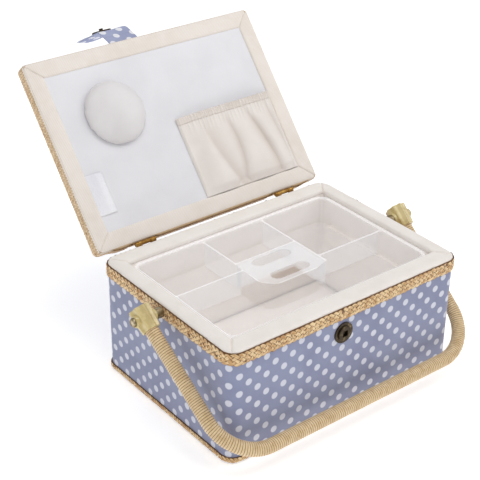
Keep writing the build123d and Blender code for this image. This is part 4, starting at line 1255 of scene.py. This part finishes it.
def makeWindings():
    # a tube whose radius rises and falls once each turn of the cord,
    # along a helix that advances one pitch a turn
    rough, *_ = handleLine(2)
    turns = int(rough[-1] / handle["turnPitch"])
    s, x, down, outX, outDown = handleLine(turns * handle["perTurn"])
    ring = circle(handle["sides"])

    def turnAt(around):
        # which turn of the cord lies at each place; two slow waves make the pitch uneven
        steady = s[:, None] * turns / s[-1] + around[None, :] / (2 * math.pi)
        return steady + 0.12 * np.sin(s[:, None] / (5.3 * mm)) + 0.1 * np.sin(s[:, None] / (13.1 * mm) + 1.0)

    phase = turnAt(ring)
    bulge = np.abs(np.sin(math.pi * phase)) ** handle["full"]
    odd = np.sin(np.floor(phase) * 12.9898) * 43758.5453  # its fraction scatters from turn to turn
    uneven = handle["uneven"] * ((odd - np.floor(odd)) - 0.5)
    radius = handle["radius"] - handle["groove"] * (1 - bulge) + uneven * bulge
    outward = radius * np.cos(ring)[None, :]
    points = onHandle(x[:, None] + outX[:, None] * outward, down[:, None] + outDown[:, None] * outward,
                      radius * np.sin(ring)[None, :])
    around = wrapOn(ring, 2 * math.pi)
    angle = np.repeat(around[None, :], len(s), axis=0)
    piece = pieceFrom("handle_windings", [(points, False, True, turnAt(around), angle, True)], windingCord())
    settle(piece, "handle", "wound_cord", "handle_wrap")


# gap is painted shade for the grooves between turns
cordLook = {"light": tint(236, 212, 170), "mid": tint(200, 166, 116), "gap": tint(112, 78, 44)}


def windingCord():
    # smooth cord: painted shade darkens the groove between two turns, with fibres that run round the handle
    made = Finish("wound cord", cordLook["light"], 0.42, Sheen_Weight=0.15, Specular_IOR_Level=0.5)
    turn, angle, _ = made.axes(made.cloth())
    crest = abs(turn.saw(1.0)) * 2.0  # 0 on a groove, 1 on a crest
    fibre = made.noise(made.node("CombineXYZ", links={0: turn * 9.0, 1: angle * 1.3}), 1.0, 3.0)
    patch = made.noise(made.place(), 160.0, 2.0)
    worn = fibre.between(0.35, 0.7) * 0.65 + patch.between(0.4, 0.7) * 0.35
    body = made.mix(worn, cordLook["light"], cordLook["mid"])
    # painted shade: the gap colour fills each groove between turns
    made.feed("Base Color", made.mix(1.0 - crest.between(0.02, 0.34), body, cordLook["gap"]))
    made.feed("Roughness", 0.34 + fibre * 0.25)
    made.emboss(fibre, 0.08 * mm)
    return made


caps = {"below": 11 * mm, "above": 9 * mm, "foot": 8.2 * mm, "head": 9.6 * mm, "flutes": 8,
        "hollow": 0.95 * mm, "soften": 0.2, "edge": 0.9 * mm, "bore": 6.15 * mm, "boreDepth": 4 * mm,
        "boreEdge": (0.3 * mm, 0.4 * mm), "sides": 96}
bossLook = {"radius": 5 * mm, "half": 9.6 * mm, "edge": 0.6 * mm, "sides": 32}


def makeCap(side, sign):
    # a fluted cup: an octagon with hollow sides whose size grows towards the head, with rounded rims,
    # from the pole of the head over the outside to the foot and up inside its bore to a second pole
    arc = np.linspace(0, math.pi / 2, 6)
    length = caps["below"] + caps["above"]
    grow = (caps["head"] - caps["foot"]) / length
    edge = caps["edge"]
    top = caps["head"] - edge
    profile = [(length, 0.0), (length, top * 0.5), (length, top * 0.85)]
    profile += [(length - edge + edge * math.cos(a), top + edge * math.sin(a)) for a in arc]
    profile += [(h, caps["foot"] + grow * h) for h in np.linspace(length - 3 * mm, 2 * mm, 7)]
    profile += [(edge * (1 - math.sin(a)), caps["foot"] - edge + edge * math.cos(a)) for a in arc]
    wide, deep = caps["boreEdge"]
    bore = [(0.0, caps["bore"] + wide), (deep, caps["bore"]), (caps["boreDepth"], caps["bore"]),
            (caps["boreDepth"], 0.0)]
    outside = np.concatenate([np.ones(len(profile)), np.zeros(len(bore))])[:, None]
    height, radius = np.array(profile + bore).T
    around = circle(caps["sides"])
    part = math.pi / caps["flutes"]
    turn = np.mod(around, 2 * part) - part
    facet = math.cos(part) / np.cos(turn)
    facet = facet + (1 - facet) * caps["soften"]
    hollow = caps["hollow"] * (np.cos(turn * caps["flutes"] / 2)) ** 2
    size = radius[:, None] * (1 - outside * (1 - facet[None, :]))
    size = size - outside * hollow[None, :] * (radius / caps["head"])[:, None] ** 2
    down = np.array([-sign * math.sin(armLean), math.cos(armLean)])
    along = caps["below"] - height
    outward, upward = size * np.cos(around), size * np.sin(around)
    x = sign * handle["pivotHalf"] + along[:, None] * down[0] + outward * down[1]
    y = along[:, None] * down[1] - outward * down[0]
    u, v = spread(height, wrapOn(around, 2 * math.pi))
    cup = pieceFrom(side + "_fluted_cap", [(onHandle(x, y, upward), False, True, u, v, False)], capPlastic)
    settle(cup, "handle", "cap_plastic", side + "_cap")
    reach, edge, wide = bossLook["half"], bossLook["edge"], bossLook["radius"]
    half = [(-reach, 0.0), (-reach, wide - edge)]
    half += [(-reach + edge * (1 - math.cos(a)), wide - edge * (1 - math.sin(a))) for a in arc]
    across, radius = np.array(half + [(-a, r) for a, r in half[::-1]]).T
    ring = circle(bossLook["sides"])
    points = onBox(sign * handle["pivotHalf"] + across[:, None], pivot.y + radius[:, None] * np.cos(ring),
                   pivot.z + radius[:, None] * np.sin(ring))
    u, v = spread(across, wrapOn(ring, 2 * math.pi))
    boss = pieceFrom(side + "_cap_boss", [(points, False, True, u, v, False)], capPlastic)
    settle(boss, "handle", "cap_plastic")


makeWindings()
makeCap("left", -1)
makeCap("right", 1)
print("handle made")
